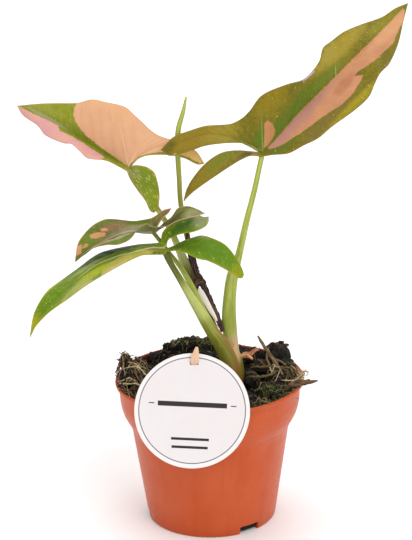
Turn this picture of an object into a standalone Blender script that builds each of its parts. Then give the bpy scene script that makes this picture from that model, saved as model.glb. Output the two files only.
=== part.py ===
"""Arrowhead plant growing in its small terracotta-coloured plastic nursery pot.

Run with blender --background --python part.py, or from the text editor.
The scene is in metres, +Z up, with X to the viewer's right and Y away from
the viewer. The origin is the centre of the pot's underside. Numbers below are
millimetres and are turned into metres when a mesh is made.
"""

import math
import random

import bmesh
import bpy
from mathutils import Matrix, Vector, noise

MM = 0.001
SEAT_GAP = 0.3          # left between pieces that touch

# Pot
LIP_R = 60.0
POT_HEIGHT = 93.0
BASE_R = 41.2
WALL = 1.2
BAND_R = 57.6           # the near-vertical band below the lip
BAND_FOOT_Z = 62.0      # where the band rounds in to the tapering body
BODY_TOP_R = 50.0
POT_SEGMENTS = 48
FLOOR = 1.5
CHANNEL_COUNT = 3       # raised drainage channels that notch the foot
CHANNEL_FIRST = 34.5    # degrees round from the front
CHANNEL_WIDTH = 14.0
CHANNEL_HEIGHT = 5.5
CHANNEL_INNER_R = 28.0
CHANNEL_SILL = 0.2      # height at which a channel's walls meet the pot's foot
DRAIN_HOLE_R = 3.0
DRAIN_HOLE_OUT = 33.0   # from the pot's axis

# Soil
SOIL_EDGE_Z = 88.0
SOIL_RINGS = 12
SOIL_SEGMENTS = 40
# Mounds of the peat: centre x and y, half widths along x and y, height
MOUNDS = [(1, 45, 22, 15, 11.5), (44, 24, 10, 10, 14.0), (-46, 4, 8, 14, 6.0), (-10, 10, 22, 16, 4.0)]
LITTER_R = 52.0         # fibres, moss and bark keep inside this radius
FIBRE_COUNT = 26
FIBRE_R = 0.5
MOSS_SPIKE_COUNT = 34
BARK_CHIP_COUNT = 8
TUFT_CORNER = (-52.0, -7.0)
TUFT_PITCH = 4.0        # spacing of the spikes in the tuft at the left rim
TUFT_COLUMNS = 2
TUFT_ROWS = 6
LITTER_SEED = 60
LITTER_SOLVER = "MANIFOLD"

# Leaves and stems
BLADE_THICKNESS = 0.7
BLADE_ALONG = 15        # rows along a main half blade
LOBE_ALONG = 8          # rows along a basal lobe
BLADE_ACROSS = 4        # columns from a vein to its margin
BLADE_SOLVER = "MANIFOLD"
FOOT_PLANE_REACH = 9.0  # half the width of the cutter that ends a stalk under its blade
STEM_SIDES = 10
CURVE_STEPS = 12        # fine steps between two given points of a curve

# Tag
TAG_R = 34.8
TAG_THICKNESS = 0.8
TAG_CENTRE = (-11.0, -60.0, 95.0)
TAG_LEAN = 15.0         # degrees that the tag leans back on the rim
TAG_TURN = 3.8          # degrees that it hangs clockwise
TAG_SEGMENTS = 64
SLOT_UP = 29.2          # slot centre above the tag's centre
SLOT_SIDE = 1.8         # and to the right of it
SLOT_SIZE = (6.0, 4.0)

# Each leaf blade hangs in a frame of its own. foot is where its stalk joins,
# tip is the point of the main lobe, and the upper face looks towards face.
# A point is (along the line from foot to tip, out to the left, above it).
# Seen from its upper face with the tip ahead, a blade has a left and a right
# half. Each half has a margin that runs from the waist to the tip, and a basal
# lobe behind the foot with its own vein, an outer margin that runs from the
# waist, and an inner margin that runs from the foot.
LEAVES = {
    "upper_right": {
        "foot": (35, 3, 239),
        "tip": (127, 38, 323),
        "face": (-0.15, -0.75, 0.6),
        "midrib": [(33, 0, 2), (65, -1, 3), (97, -1, 2)],
        "left": {
            "waist": (13, 22, 8),
            "margin": [(25, 23, 9), (39, 16, 11), (49, 10, 11), (57, 10, 10), (65, 12, 9), (72, 16, 9),
                       (79, 16, 7), (88, 14, 8), (99, 10, 6), (112, 5, 2), (121, 3, 2)],
            "lobe_vein": [(-3, 11, 4), (-7, 20, 6), (-16, 32, 8), (-31, 40, 9)],
            "lobe_tip": (-42, 45, 11),
            "outer": [(7, 23, 6), (0, 26, 5), (-6, 31, 6), (-12, 36, 8), (-21, 41, 9), (-31, 45, 11)],
            "inner": [(-1.5, 7, 4), (-9, 15.5, 8), (-21, 26, 9), (-28, 30, 9), (-35, 34, 9), (-41, 39, 9)],
        },
        "right": {
            "waist": (-2.5, -1.5, 0),
            "margin": [(3, -7, 2), (10, -14, 3), (20, -18, 4), (29, -21, 3), (39, -22, 3), (58, -25, 2),
                       (69, -25, 1), (77, -22, 1), (84, -20, 2), (93, -19, 0), (106, -14, 0), (119, -6, 0)],
            "lobe_vein": [(-5, 3.5, 2), (-15, 9, 7), (-31, 13, 9), (-46, 14, 7)],
            "lobe_tip": (-55, 14, 2),
            "outer": [(-6.5, 2.5, 3), (-11, 4, 5), (-19, 6, 6), (-36, 9, 8), (-47, 11.5, 7)],
            "inner": [(-4.5, 5, 3), (-11, 11.5, 6), (-18, 16, 8), (-28, 18.5, 8), (-39, 18.5, 7),
                      (-48, 17, 5)],
        },
    },
    "upper_left": {
        "foot": (-48, 18, 227),
        "tip": (-119, 54, 259),
        "face": (0.2, -0.85, 0.5),
        "midrib": [(18, 0, -1), (34, -1, 0), (55, -2, 0)],
        "left": {
            "waist": (-1, 3, 1),
            "margin": [(6, 5, 7), (12, 6, 8), (23, 10, 7), (29, 9, 8), (37, 7, 7), (43, 8, 4), (58, 8, 0),
                       (66, 5, 0), (79, 3, -2)],
            "lobe_vein": [(-9, 2, 1), (-17, 5, -2), (-22, 9, -6)],
            "lobe_tip": (-27, 14, -12),
            "outer": [(-4, 5, -3), (-11, 8, -6), (-19, 11, -9), (-24, 14, -12)],
            "inner": [(-4, -2, 4), (-11, -4, 6), (-16, -4, 6), (-19, -3, 5), (-25, 3, -2), (-28, 10, -9)],
        },
        "right": {
            "waist": (1, -26, 8.5),
            "margin": [(6, -27, 10.5), (12, -28, 12), (20, -29, 14), (33, -26, 13), (42, -24, 11),
                       (50, -19, 7), (62, -13, 5), (73, -8, 2)],
            "lobe_vein": [(-1.5, -5, 2.5), (-3.5, -10.5, 4), (-11, -21, 4.5), (-21, -26.5, 2),
                          (-31, -28, -1)],
            "lobe_tip": (-38, -28, -5),
            "outer": [(-6, -26, 6), (-13, -28, 4), (-21, -31, 3), (-31, -31, -1)],
            "inner": [(-2.5, -5, 3), (-6.5, -10, 5), (-14, -16, 4), (-20, -20, 2), (-27, -23, 0),
                      (-35, -25, -4)],
        },
    },
    "middle_left": {
        "foot": (-33, -4, 191),
        "tip": (-80, -34, 183),
        "face": (0.05, -0.5, 0.86),
        "midrib": [(16, -3, 6), (29, -3, 6), (44, -2, 4)],
        "left": {
            "waist": (7, 1, 12),
            "margin": [(10, 1, 12), (15, 3, 12), (20, 6, 11), (25, 8, 11), (32, 8, 11), (39, 6, 12),
                       (46, 4, 11), (50, 2, 8)],
            "lobe_vein": [(-1, 3, 6), (-4, 5, 10), (-9, 7, 16), (-16, 10, 20)],
            "lobe_tip": (-25, 16, 20),
            "outer": [(5, 4, 11), (-1, 7, 11), (-3, 9, 12), (-7, 11, 16), (-13, 14, 19), (-20, 16, 20)],
            "inner": [(-1, 1, 4), (-2, 3, 7), (-5, 3, 10), (-9, 4, 13), (-14, 3, 18), (-19, 6, 20),
                      (-23, 11, 20)],
        },
        "right": {
            "waist": (-4, -9, 3),
            "margin": [(1, -10, 3), (8, -11, 4), (21, -16, 7), (27, -16, 9), (35, -15, 9), (43, -12, 8),
                       (50, -8, 6), (55, -2, 2)],
            "lobe_vein": [(-4, -4, 2), (-10, -6, 5)],
            "lobe_tip": (-17, -7, 8),
            "outer": [(-8, -8.5, 5), (-12, -8.5, 7)],
            "inner": [(-4, -2, 1), (-7, -3.5, 3), (-10, -4.5, 5), (-14, -5.5, 6)],
        },
    },
    "lower_left": {
        "foot": (-26, -8, 182),
        "tip": (-107, -61, 145),
        "face": (-0.1, -0.4, 0.9),
        "midrib": [(9, 1, 8), (19, 2, 13), (33, -1, 16), (50, -2, 19), (61, 0, 19.5), (75, 0, 17),
                   (90, -1, 11)],
        "left": {
            "waist": (1, 3, 0),
            "margin": [(4, 5, 1), (12, 6, 7), (20, 7, 13), (28, 8, 16), (43, 10, 20), (63, 10, 21),
                       (76, 9, 19), (89, 5, 14), (99, 2, 7)],
            "lobe_vein": [(-7, 7, 1), (-16, 15, 0), (-23, 25, -5), (-27, 35, -10)],
            "lobe_tip": (-26, 41, -17),
            "outer": [(-4, 11, 2), (-9, 22, -1), (-13, 26, -3), (-19, 35, -9), (-23, 41, -15)],
            "inner": [(-4, 2, 0), (-11, 4, 1), (-17, 6, 1), (-22, 10, 2), (-26, 15, 0), (-30, 23, -4),
                      (-30, 34, -12), (-28, 40, -16)],
        },
        "right": {
            "waist": (0, -3.5, 3),
            "margin": [(4, -5, 4), (10, -9, 5), (22, -12, 9), (35, -14, 13), (44, -14, 14), (52, -14, 13),
                       (68, -12, 14), (79, -10, 15), (87, -8, 13), (95, -5, 9)],
            "lobe_vein": [(-6, -2, 6), (-16, 3, 10), (-24, 6, 11)],
            "lobe_tip": (-30, 9, 12),
            "outer": [(-5, -7, 6), (-12, -6, 9), (-18, -4, 10), (-26, 1, 11), (-29, 6, 10)],
            "inner": [(-4, -0.5, 4), (-8, 4, 8), (-12, 7, 9), (-16, 10, 9), (-24, 12, 9), (-28, 11, 10)],
        },
    },
}
LEAF_CROWN = 0.07       # how far a half blade bulges up between vein and margin, of its width

# A stem is a list of stations: x, y, z, half width, half depth.
STEMS = {
    "crown": [(14, -7, 116, 3.4, 5.0), (16, -6, 110, 5.8, 8.0), (19, -5, 100, 7.0, 9.2),
              (21, -5, 88, 6.8, 8.8), (22, -5, 74, 6.4, 8.0), (22, -5, 62, 5.0, 6.0)],
    "petiole_upper_right": [
        (35.3, 2, 241, 1.5, 1.4), (34.6, 3.4, 236, 1.6, 1.5), (33, 3, 229, 1.6, 1.5), (30, 1, 216, 1.7, 1.6),
        (25, 0, 197, 1.9, 1.8), (19, 1, 171, 2.4, 2.3), (15.5, 1, 160, 3.6, 2.8), (13.5, 1, 145, 4.0, 3.0),
        (13, 1, 132, 4.6, 3.2), (15, 0, 118, 4.4, 3.4), (19, -2, 106, 3.8, 3.2)],
    "petiole_upper_left": [
        (-49, 17, 228, 1.3, 1.2), (-46, 19, 223.5, 1.4, 1.3), (-41, 17.5, 216, 1.5, 1.4),
        (-34, 14, 207, 1.6, 1.5), (-29, 12, 199, 1.7, 1.6), (-23, 9, 189, 2.0, 1.8), (-16, 5, 178, 3.4, 1.8),
        (-12.5, 4, 166, 3.8, 1.9), (-8.7, 3, 152, 3.2, 2.0), (-4, 2.5, 142, 2.8, 2.2), (1, 3, 130, 2.8, 2.4),
        (6, 4, 117, 2.8, 2.6), (12, 2, 104, 2.6, 2.4)],
    "petiole_middle_left": [
        (-33.5, -4.5, 192.2, 1.2, 1.2), (-31.5, -3.5, 189, 1.3, 1.3), (-28, -3, 184, 1.3, 1.3),
        (-24, -2, 177, 1.4, 1.4), (-19, -2.5, 170, 1.6, 1.6), (-14, -3.5, 161, 1.8, 1.8),
        (-9, -4, 151, 2.0, 2.0), (-3, -4.5, 139, 2.2, 2.0), (4, -5, 126, 2.2, 2.0), (12, -5, 112, 2.2, 2.0)],
    "petiole_lower_left": [
        (-26.5, -8.2, 183.2, 1.5, 1.4), (-25, -8.3, 179.5, 1.6, 1.5), (-22, -9, 173, 1.7, 1.6),
        (-15, -10, 162, 2.0, 1.9), (-8.5, -11, 149, 3.0, 2.3), (2, -12.5, 130, 4.6, 3.2),
        (10, -13, 117, 5.6, 3.8), (17, -11, 104, 5.6, 4.0)],
    "spear_leaf": [
        (-11, 15, 272, 0.5, 0.5), (-13, 15, 263, 1.2, 1.1), (-16, 14.5, 253, 1.6, 1.5),
        (-17, 14, 245, 1.6, 1.5), (-17, 13, 235, 1.6, 1.6), (-16.5, 12, 221, 1.5, 1.5),
        (-16, 11, 206, 1.5, 1.5), (-14, 10, 193, 1.5, 1.5), (-12, 9, 180, 1.4, 1.4),
        (-10.5, 6, 170, 1.2, 1.2)],
    "dried_sheath": [
        (-12, 6, 188, 0.7, 0.6), (-10, 5, 177, 1.4, 0.7), (-7.4, 4, 169, 1.7, 0.8),
        (-4.2, 2.5, 160, 1.8, 0.9), (-2, 1.5, 152, 1.5, 0.9), (2.4, 0.5, 141, 1.5, 0.9),
        (6.8, -0.5, 131, 1.3, 0.8), (8.6, -1.5, 125, 0.8, 0.6)],
    "papery_sheath": [(-4.4, -0.2, 151, 0.8, 0.4), (-1.4, -0.8, 146, 1.6, 0.4), (1.7, -1.6, 139, 1.6, 0.4),
                      (4.9, -2.4, 132, 0.9, 0.4)],
    "twig": [(31.5, 15, 114.5, 0.6, 0.6), (34, 12, 111.5, 1.4, 1.3), (39, 5, 106.5, 1.8, 1.6),
             (44, -5, 100, 1.7, 1.5), (48, -11, 93.5, 1.2, 1.0), (49.5, -14, 86, 0.8, 0.8)],
    "bark_shard": [(44.5, -21, 85, 0.9, 0.9), (46.5, -21, 90, 1.2, 1.0), (51, -20.5, 94, 1.8, 1.2),
                   (55.5, -20.5, 95.8, 1.7, 1.0), (62, -21, 96.6, 1.3, 0.9), (67.5, -22, 97.2, 0.6, 0.6)],
}
STEM_ROWS = {"crown": 8, "petiole_upper_right": 18, "petiole_upper_left": 20, "petiole_middle_left": 15,
             "petiole_lower_left": 13, "spear_leaf": 15, "dried_sheath": 12, "papery_sheath": 6,
             "twig": 7, "bark_shard": 6, "tag_pick": 22}
STEM_FINISH = {"dried_sheath": "dried", "papery_sheath": "papery", "twig": "bark", "bark_shard": "bark"}
STIPULE_FORKS = [
    [(18, -6, 108, 1.2, 0.6), (23, -6.5, 110, 1.6, 0.5), (27, -7, 111.5, 1.5, 0.5), (31, -8, 114, 0.7, 0.4)],
    [(23, -6.5, 110, 1.2, 0.5), (26.5, -7.5, 108.5, 1.3, 0.5), (28.5, -8, 106, 0.6, 0.4)],
]
PICK = [(-8, -52.9, 133.5, 0.7, 0.5), (-8.5, -53.6, 130, 1.9, 0.6), (-8.9, -54, 126.2, 2.4, 0.6),
        (-9.2, -52.5, 123.2, 2.4, 0.6), (-9.5, -51, 120.4, 2.4, 0.6), (-10, -49.4, 113, 2.4, 0.6),
        (-11, -46.5, 95, 2.4, 0.6), (-11.5, -43.5, 78, 2.2, 0.6), (-12, -40.5, 60, 0.8, 0.5)]

COLOURS = {             # base colour, roughness
    "pot": ((0.58, 0.13, 0.045), 0.42),
    "soil": ((0.035, 0.025, 0.016), 0.95),
    "bark": ((0.16, 0.075, 0.045), 0.9),
    "stem": ((0.30, 0.42, 0.09), 0.45),
    "leaf": ((0.17, 0.24, 0.035), 0.4),
    "dried": ((0.075, 0.04, 0.032), 0.85),
    "papery": ((0.72, 0.60, 0.56), 0.8),
    "stipule": ((0.52, 0.20, 0.09), 0.8),
    "tag": ((0.90, 0.86, 0.86), 0.6),
    "pick": ((0.84, 0.56, 0.42), 0.5),
}


# Scene and materials

def clear_scene():
    for obj in list(bpy.data.objects):
        bpy.data.objects.remove(obj, do_unlink=True)


def material_for(node, finish):
    """A plain Principled material of the node's own."""
    colour, roughness = COLOURS[finish]
    material = bpy.data.materials.new(node + "_finish")
    material.use_nodes = True
    shader = material.node_tree.nodes["Principled BSDF"]
    shader.inputs["Base Color"].default_value = (*colour, 1.0)
    shader.inputs["Roughness"].default_value = roughness
    shader.inputs["Metallic"].default_value = 0.0
    return material


def add_object(name, mesh_data, finish=None, smooth_angle=40.0):
    """An object from points in millimetres and faces; without a finish it is a hidden cutter."""
    points, faces = mesh_data
    mesh = bpy.data.meshes.new(name)
    mesh.from_pydata([Vector(p) * MM for p in points], [], faces)
    mesh.update()
    obj = bpy.data.objects.new(name, mesh)
    bpy.context.scene.collection.objects.link(obj)
    if finish:
        mesh.materials.append(material_for(name, finish))
        mesh.shade_smooth()
        mesh.set_sharp_from_angle(angle=math.radians(smooth_angle))
    else:
        obj.hide_render = True
        obj.display_type = "WIRE"
    return obj


def boolean(target, other, operation, solver="EXACT"):
    modifier = target.modifiers.new(operation.lower() + "_" + other.name, "BOOLEAN")
    modifier.operation = operation
    modifier.solver = solver
    modifier.object = other
    return modifier


def apply_modifiers(obj):
    """Turn an object's mesh into the one that its modifiers make."""
    graph = bpy.context.evaluated_depsgraph_get()
    mesh = bpy.data.meshes.new_from_object(obj.evaluated_get(graph))
    obj.modifiers.clear()
    obj.data = mesh


def keep_main_body(obj):
    """Drop loose scraps and fill sealed hollows, so that only the largest closed body stays."""
    bm = bmesh.new()
    bm.from_mesh(obj.data)
    waiting = set(bm.faces)
    bodies = []
    while waiting:
        body = {waiting.pop()}
        front = list(body)
        while front:
            face = front.pop()
            for edge in face.edges:
                for other in edge.link_faces:
                    if other in waiting:
                        waiting.remove(other)
                        body.add(other)
                        front.append(other)
        bodies.append(body)
    bodies.sort(key=lambda body: sum(f.calc_area() for f in body))
    for body in bodies[:-1]:
        bmesh.ops.delete(bm, geom=list(body), context="FACES")
    loose = [v for v in bm.verts if not v.link_faces]
    bmesh.ops.delete(bm, geom=loose, context="VERTS")
    bm.to_mesh(obj.data)
    bm.free()


# Curves and solids

def smooth_curve(points, count):
    """Points spaced evenly along one smooth curve through the given points."""
    knots = [Vector(p) for p in points]
    gaps = [(b - a).length for a, b in zip(knots, knots[1:])]
    slopes = [(knots[1] - knots[0]) / gaps[0]]
    for i in range(1, len(knots) - 1):
        slopes.append((knots[i + 1] - knots[i - 1]) / (gaps[i] + gaps[i - 1]))
    slopes.append((knots[-1] - knots[-2]) / gaps[-1])
    fine = [knots[0]]
    for i, gap in enumerate(gaps):
        for step in range(1, CURVE_STEPS + 1):
            t = step / CURVE_STEPS
            fine.append(knots[i] * (2 * t ** 3 - 3 * t ** 2 + 1)
                        + slopes[i] * gap * (t ** 3 - 2 * t ** 2 + t)
                        + knots[i + 1] * (3 * t ** 2 - 2 * t ** 3)
                        + slopes[i + 1] * gap * (t ** 3 - t ** 2))
    return even_points(fine, count)


def even_points(fine, count):
    travelled = [0.0]
    for a, b in zip(fine, fine[1:]):
        travelled.append(travelled[-1] + (b - a).length)
    result = []
    i = 0
    for k in range(count + 1):
        wanted = travelled[-1] * k / count
        while i < len(fine) - 2 and travelled[i + 1] < wanted:
            i += 1
        share = (wanted - travelled[i]) / max(travelled[i + 1] - travelled[i], 1e-9)
        result.append(fine[i].lerp(fine[i + 1], min(share, 1.0)))
    return result


def stem(stations, rows, sides=STEM_SIDES, grow=0.0):
    """A closed tapering rod through the stations; grow makes it that much thicker all round."""
    path = smooth_curve([s[:3] for s in stations], rows)
    sizes = smooth_curve([(i * 10.0, s[3], s[4]) for i, s in enumerate(stations)], 10 * rows)
    spans = [(Vector(b[:3]) - Vector(a[:3])).length for a, b in zip(stations, stations[1:])]
    starts = [sum(spans[:i]) for i in range(len(stations))]
    points = []
    for k, centre in enumerate(path):
        ahead = path[min(k + 1, rows)] - path[max(k - 1, 0)]
        tangent = ahead.normalized()
        across = tangent.cross(Vector((0, 1, 0))).normalized()
        deep = across.cross(tangent).normalized()
        wanted = starts[-1] * k / rows
        i = max(j for j in range(len(stations) - 1) if starts[j] <= wanted + 1e-6)
        share = (i + (wanted - starts[i]) / spans[i]) * 10.0
        size = min(sizes, key=lambda s: abs(s.x - share))
        if k in (0, rows):
            centre = centre + tangent * (grow if k else -grow)
        for side in range(sides):
            turn = 2 * math.pi * side / sides
            points.append(centre + across * (math.cos(turn) * (size.y + grow))
                          + deep * (math.sin(turn) * (size.z + grow)))
    faces = []
    for k in range(rows):
        for side in range(sides):
            a = k * sides + side
            b = k * sides + (side + 1) % sides
            faces.append((a, b, b + sides, a + sides))
    faces.append(tuple(reversed(range(sides))))
    faces.append(tuple(range(rows * sides, (rows + 1) * sides)))
    return outward(points, faces)


def outward(points, faces):
    """The same closed mesh with its faces pointing out."""
    bm = bmesh.new()
    verts = [bm.verts.new(p) for p in points]
    for face in faces:
        bm.faces.new([verts[i] for i in face])
    bmesh.ops.recalc_face_normals(bm, faces=bm.faces)
    if bm.calc_volume(signed=True) < 0:
        bmesh.ops.reverse_faces(bm, faces=bm.faces)
    bm.verts.index_update()
    result = ([v.co.copy() for v in bm.verts], [tuple(v.index for v in f.verts) for f in bm.faces])
    bm.free()
    return result


def lathe(profile, segments):
    """A solid turned about Z from a profile whose two ends lie on the axis."""
    points = []
    rings = []
    for radius, height in profile:
        if radius == 0:
            rings.append([len(points)] * segments)
            points.append((0, 0, height))
            continue
        ring = []
        for k in range(segments):
            turn = 2 * math.pi * k / segments
            ring.append(len(points))
            points.append((radius * math.cos(turn), radius * math.sin(turn), height))
        rings.append(ring)
    faces = []
    for low, high in zip(rings, rings[1:]):
        for k in range(segments):
            n = (k + 1) % segments
            corners = []
            for corner in (low[k], low[n], high[n], high[k]):
                if corner not in corners:
                    corners.append(corner)
            faces.append(tuple(corners))
    return outward(points, faces)


def block(low, high, turn=0.0):
    """A box between two corners, turned about Z by some degrees."""
    spin = Matrix.Rotation(math.radians(turn), 3, "Z")
    corners = [(x, y, z) for x in (low[0], high[0]) for y in (low[1], high[1]) for z in (low[2], high[2])]
    faces = [(0, 1, 3, 2), (4, 6, 7, 5), (0, 4, 5, 1), (2, 3, 7, 6), (0, 2, 6, 4), (1, 5, 7, 3)]
    return outward([spin @ Vector(c) for c in corners], faces)


# Pot

def outer_profile():
    """The pot's outside from the foot to the lip, as radius and height."""
    return [(BASE_R - 0.8, 0), (BASE_R, 0.8), (BODY_TOP_R, 60.4), (BODY_TOP_R + 0.5, BAND_FOOT_Z),
            (51.6, 65), (53.4, 68), (55.2, 71.5), (56.4, 75.5), (57.2, 80), (BAND_R, 89.6),
            (58.2, 90.3), (LIP_R - 0.4, 90.6), (LIP_R, 91.2), (LIP_R, POT_HEIGHT - 0.6),
            (LIP_R - 0.6, POT_HEIGHT)]


def inner_profile(shrink=0.0):
    """The pot's inside from the lip down to the floor; shrink keeps a gap for what fills it."""
    wall = [(LIP_R - 2.2, POT_HEIGHT), (LIP_R - 3.0, 92), (BAND_R - WALL, 89.6), (57.2 - WALL, 80.2),
            (56.4 - WALL, 76), (55.2 - WALL, 72.2), (53.4 - WALL, 68.8), (51.6 - WALL, 65.8),
            (BODY_TOP_R + 0.5 - WALL - 0.2, 62.6), (BODY_TOP_R - WALL, 60.4), (BASE_R - WALL + 0.2, FLOOR)]
    return [(r - shrink, z + (shrink if z == FLOOR else 0)) for r, z in wall]


def channel_turns():
    return [CHANNEL_FIRST + 360.0 * k / CHANNEL_COUNT for k in range(CHANNEL_COUNT)]


def make_pot():
    profile = [(0, 0)] + outer_profile() + inner_profile() + [(0, FLOOR)]
    pot = add_object("pot", lathe(profile, POT_SEGMENTS), "pot")
    foot, top = outer_profile()[1:3]
    envelope = lathe([(0, CHANNEL_SILL), foot, top, (0, top[1])], POT_SEGMENTS)
    envelope = add_object("pot_envelope_guide", envelope)
    half = CHANNEL_WIDTH / 2
    for k, turn in enumerate(channel_turns()):
        low = (-half - WALL, -LIP_R, CHANNEL_SILL)
        high = (half + WALL, -CHANNEL_INNER_R + WALL, CHANNEL_HEIGHT + WALL)
        shell = add_object("channel_shell_%d" % k, block(low, high, turn))
        boolean(shell, envelope, "INTERSECT")
        hollow = block((-half, -LIP_R, -2), (half, -CHANNEL_INNER_R, CHANNEL_HEIGHT), turn)
        hollow = add_object("channel_hollow_%d" % k, hollow)
        hole_centre = Matrix.Rotation(math.radians(turn), 3, "Z") @ Vector((0, -DRAIN_HOLE_OUT, 0))
        hole = [(0, CHANNEL_HEIGHT - 2), (DRAIN_HOLE_R, CHANNEL_HEIGHT - 2),
                (DRAIN_HOLE_R, CHANNEL_HEIGHT + 4), (0, CHANNEL_HEIGHT + 4)]
        hole = lathe(hole, 12)
        hole = add_object("drain_hole_%d" % k, ([Vector(p) + hole_centre for p in hole[0]], hole[1]))
        boolean(pot, shell, "UNION")
        boolean(pot, hollow, "DIFFERENCE")
        boolean(pot, hole, "DIFFERENCE")
    return pot


# Soil with its litter

def soil_height(x, y):
    """Height of the peat: heaped at the back, right and left, lumpy everywhere."""
    heap = 0.0
    for centre_x, centre_y, half_x, half_y, height in MOUNDS:
        spread = ((x - centre_x) / half_x) ** 4 + ((y - centre_y) / half_y) ** 4
        heap += height * math.exp(-spread)
    rough = 3.0 * noise.noise(Vector((x / 11.0, y / 11.0, 3.0)))
    rough += 1.6 * noise.noise(Vector((x / 4.5, y / 4.5, 9.0)))
    edge = min(1.0, max(0.0, (56.0 - math.hypot(x, y)) / 5.0))
    return SOIL_EDGE_Z + edge * (1.5 + heap + rough)


def soil_mound():
    side = list(reversed(inner_profile(SEAT_GAP + 0.1)))
    side = [p for p in side if p[1] < SOIL_EDGE_Z - 1]
    segments = SOIL_SEGMENTS
    profile = [(0, side[0][1])] + side
    points, faces = [], []
    rings = []
    edge_r = side[-1][0] + 0.25
    tops = [edge_r * (1 - k / SOIL_RINGS) for k in range(SOIL_RINGS + 1)]
    for radius, height in profile + [(r, None) for r in tops]:
        ring = []
        for k in range(segments):
            if radius < 1e-6 and ring:
                ring.append(ring[0])
                continue
            turn = 2 * math.pi * k / segments
            x = radius * math.cos(turn)
            y = radius * math.sin(turn)
            ring.append(len(points))
            points.append((x, y, soil_height(x, y) if height is None else height))
        rings.append(ring)
    for low, high in zip(rings, rings[1:]):
        for k in range(segments):
            n = (k + 1) % segments
            corners = []
            for corner in (low[k], low[n], high[n], high[k]):
                if corner not in corners:
                    corners.append(corner)
            faces.append(tuple(corners))
    return outward(points, faces)


def stem_spots():
    """Places on the soil that the stems, the pick, the twig and the shard take, with their radii."""
    spots = [(s[0], s[1], max(s[3], s[4]) + 2.5) for s in STEMS["crown"]]
    spots += [(s[0], s[1], 3.5) for s in PICK[4:]]
    for name in ("twig", "bark_shard"):
        line = smooth_curve([s[:3] for s in STEMS[name]], 12)
        spots += [(p.x, p.y, 3.8) for p in line]
    return spots


def is_free(spots, places, reach):
    """True where none of the places comes within reach of a spot or past the soil's edge."""
    for x, y in places:
        if math.hypot(x, y) > LITTER_R:
            return False
        if any(math.hypot(x - a, y - b) < r + reach for a, b, r in spots):
            return False
    return True


def free_line(rng, spots, length, reach):
    """Both ends and the middle of a random line on the soil that crosses nothing; it is marked as taken."""
    while True:
        turn = rng.uniform(0, 2 * math.pi)
        radius = LITTER_R * math.sqrt(rng.random())
        start = Vector((radius * math.cos(turn), radius * math.sin(turn)))
        turn = rng.uniform(0, 2 * math.pi)
        end = start + length * Vector((math.cos(turn), math.sin(turn)))
        bow = rng.uniform(-0.15, 0.15) * Vector((start.y - end.y, end.x - start.x))
        steps = max(1, round(length / 1.5))
        line = []
        for k in range(steps + 1):
            share = k / steps
            line.append(start.lerp(end, share) + bow * 4 * share * (1 - share))
        if is_free(spots, line, reach):
            spots += [(p.x, p.y, reach) for p in line]
            return line


def fibre(rng, spots):
    """A thin root that stands a little clear of the peat, with both ends sunk in."""
    line = free_line(rng, spots, rng.uniform(9, 20), 0.9)
    rise = rng.uniform(1.4, 3.0)
    top = max(soil_height(*p) for p in line)
    last = len(line) - 1
    stations = []
    for share, lift in ((0.0, -2.2), (0.16, None), (0.84, None), (1.0, -2.2)):
        x, y = line[round(share * last)]
        ground = soil_height(x, y)
        z = ground + lift if lift is not None else (ground + top) / 2 + rise
        stations.append((x, y, z, FIBRE_R, FIBRE_R))
    return stem(stations, 4, sides=3)


def moss_spike(rng, spots, place=None):
    """A short pointed frond; those of the tuft at the left rim have a place and stand taller."""
    if place:
        x, y = place
        height = rng.uniform(5, 12)
    else:
        x, y = free_line(rng, spots, 0.5, 1.6)[0]
        height = rng.uniform(2.5, 6)
    lean_x = rng.uniform(-2, 2)
    lean_y = rng.uniform(-1, 1)
    ground = soil_height(x, y)
    width = rng.uniform(0.7, 1.2)
    stations = [(x, y, ground - 1.8, width, width * 0.7),
                (x + lean_x * 0.4, y + lean_y * 0.4, ground + height * 0.5, width * 0.8, width * 0.6),
                (x + lean_x, y + lean_y, ground + height, 0.35, 0.35)]
    return stem(stations, 2, sides=3)


def bark_chip(rng, spots):
    """A small flat block of bark, half sunk."""
    half = (rng.uniform(2, 4), rng.uniform(1.2, 2.2), rng.uniform(0.9, 1.4))
    x, y = free_line(rng, spots, 0.5, half[0] * 1.2)[0]
    points, faces = block([-s for s in half], half, rng.uniform(0, 180))
    tilt = Matrix.Rotation(rng.uniform(-0.4, 0.4), 3, "X")
    centre = Vector((x, y, soil_height(x, y) + 0.5))
    return [tilt @ Vector(p) + centre for p in points], faces


def litter_pieces():
    """Every fibre, spike and chip, each clear of the others and of what stands in the soil."""
    rng = random.Random(LITTER_SEED)
    spots = stem_spots()
    pieces = []
    for k in range(TUFT_ROWS * TUFT_COLUMNS):
        x = TUFT_CORNER[0] + TUFT_PITCH * (k % TUFT_COLUMNS) + rng.uniform(-0.6, 0.6)
        y = TUFT_CORNER[1] + TUFT_PITCH * (k // TUFT_COLUMNS) + rng.uniform(-0.6, 0.6)
        pieces.append(moss_spike(rng, spots, (x, y)))
        spots.append((x, y, 2.0))
    pieces += [bark_chip(rng, spots) for _ in range(BARK_CHIP_COUNT)]
    pieces += [fibre(rng, spots) for _ in range(FIBRE_COUNT)]
    pieces += [moss_spike(rng, spots) for _ in range(MOSS_SPIKE_COUNT)]
    return pieces


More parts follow.
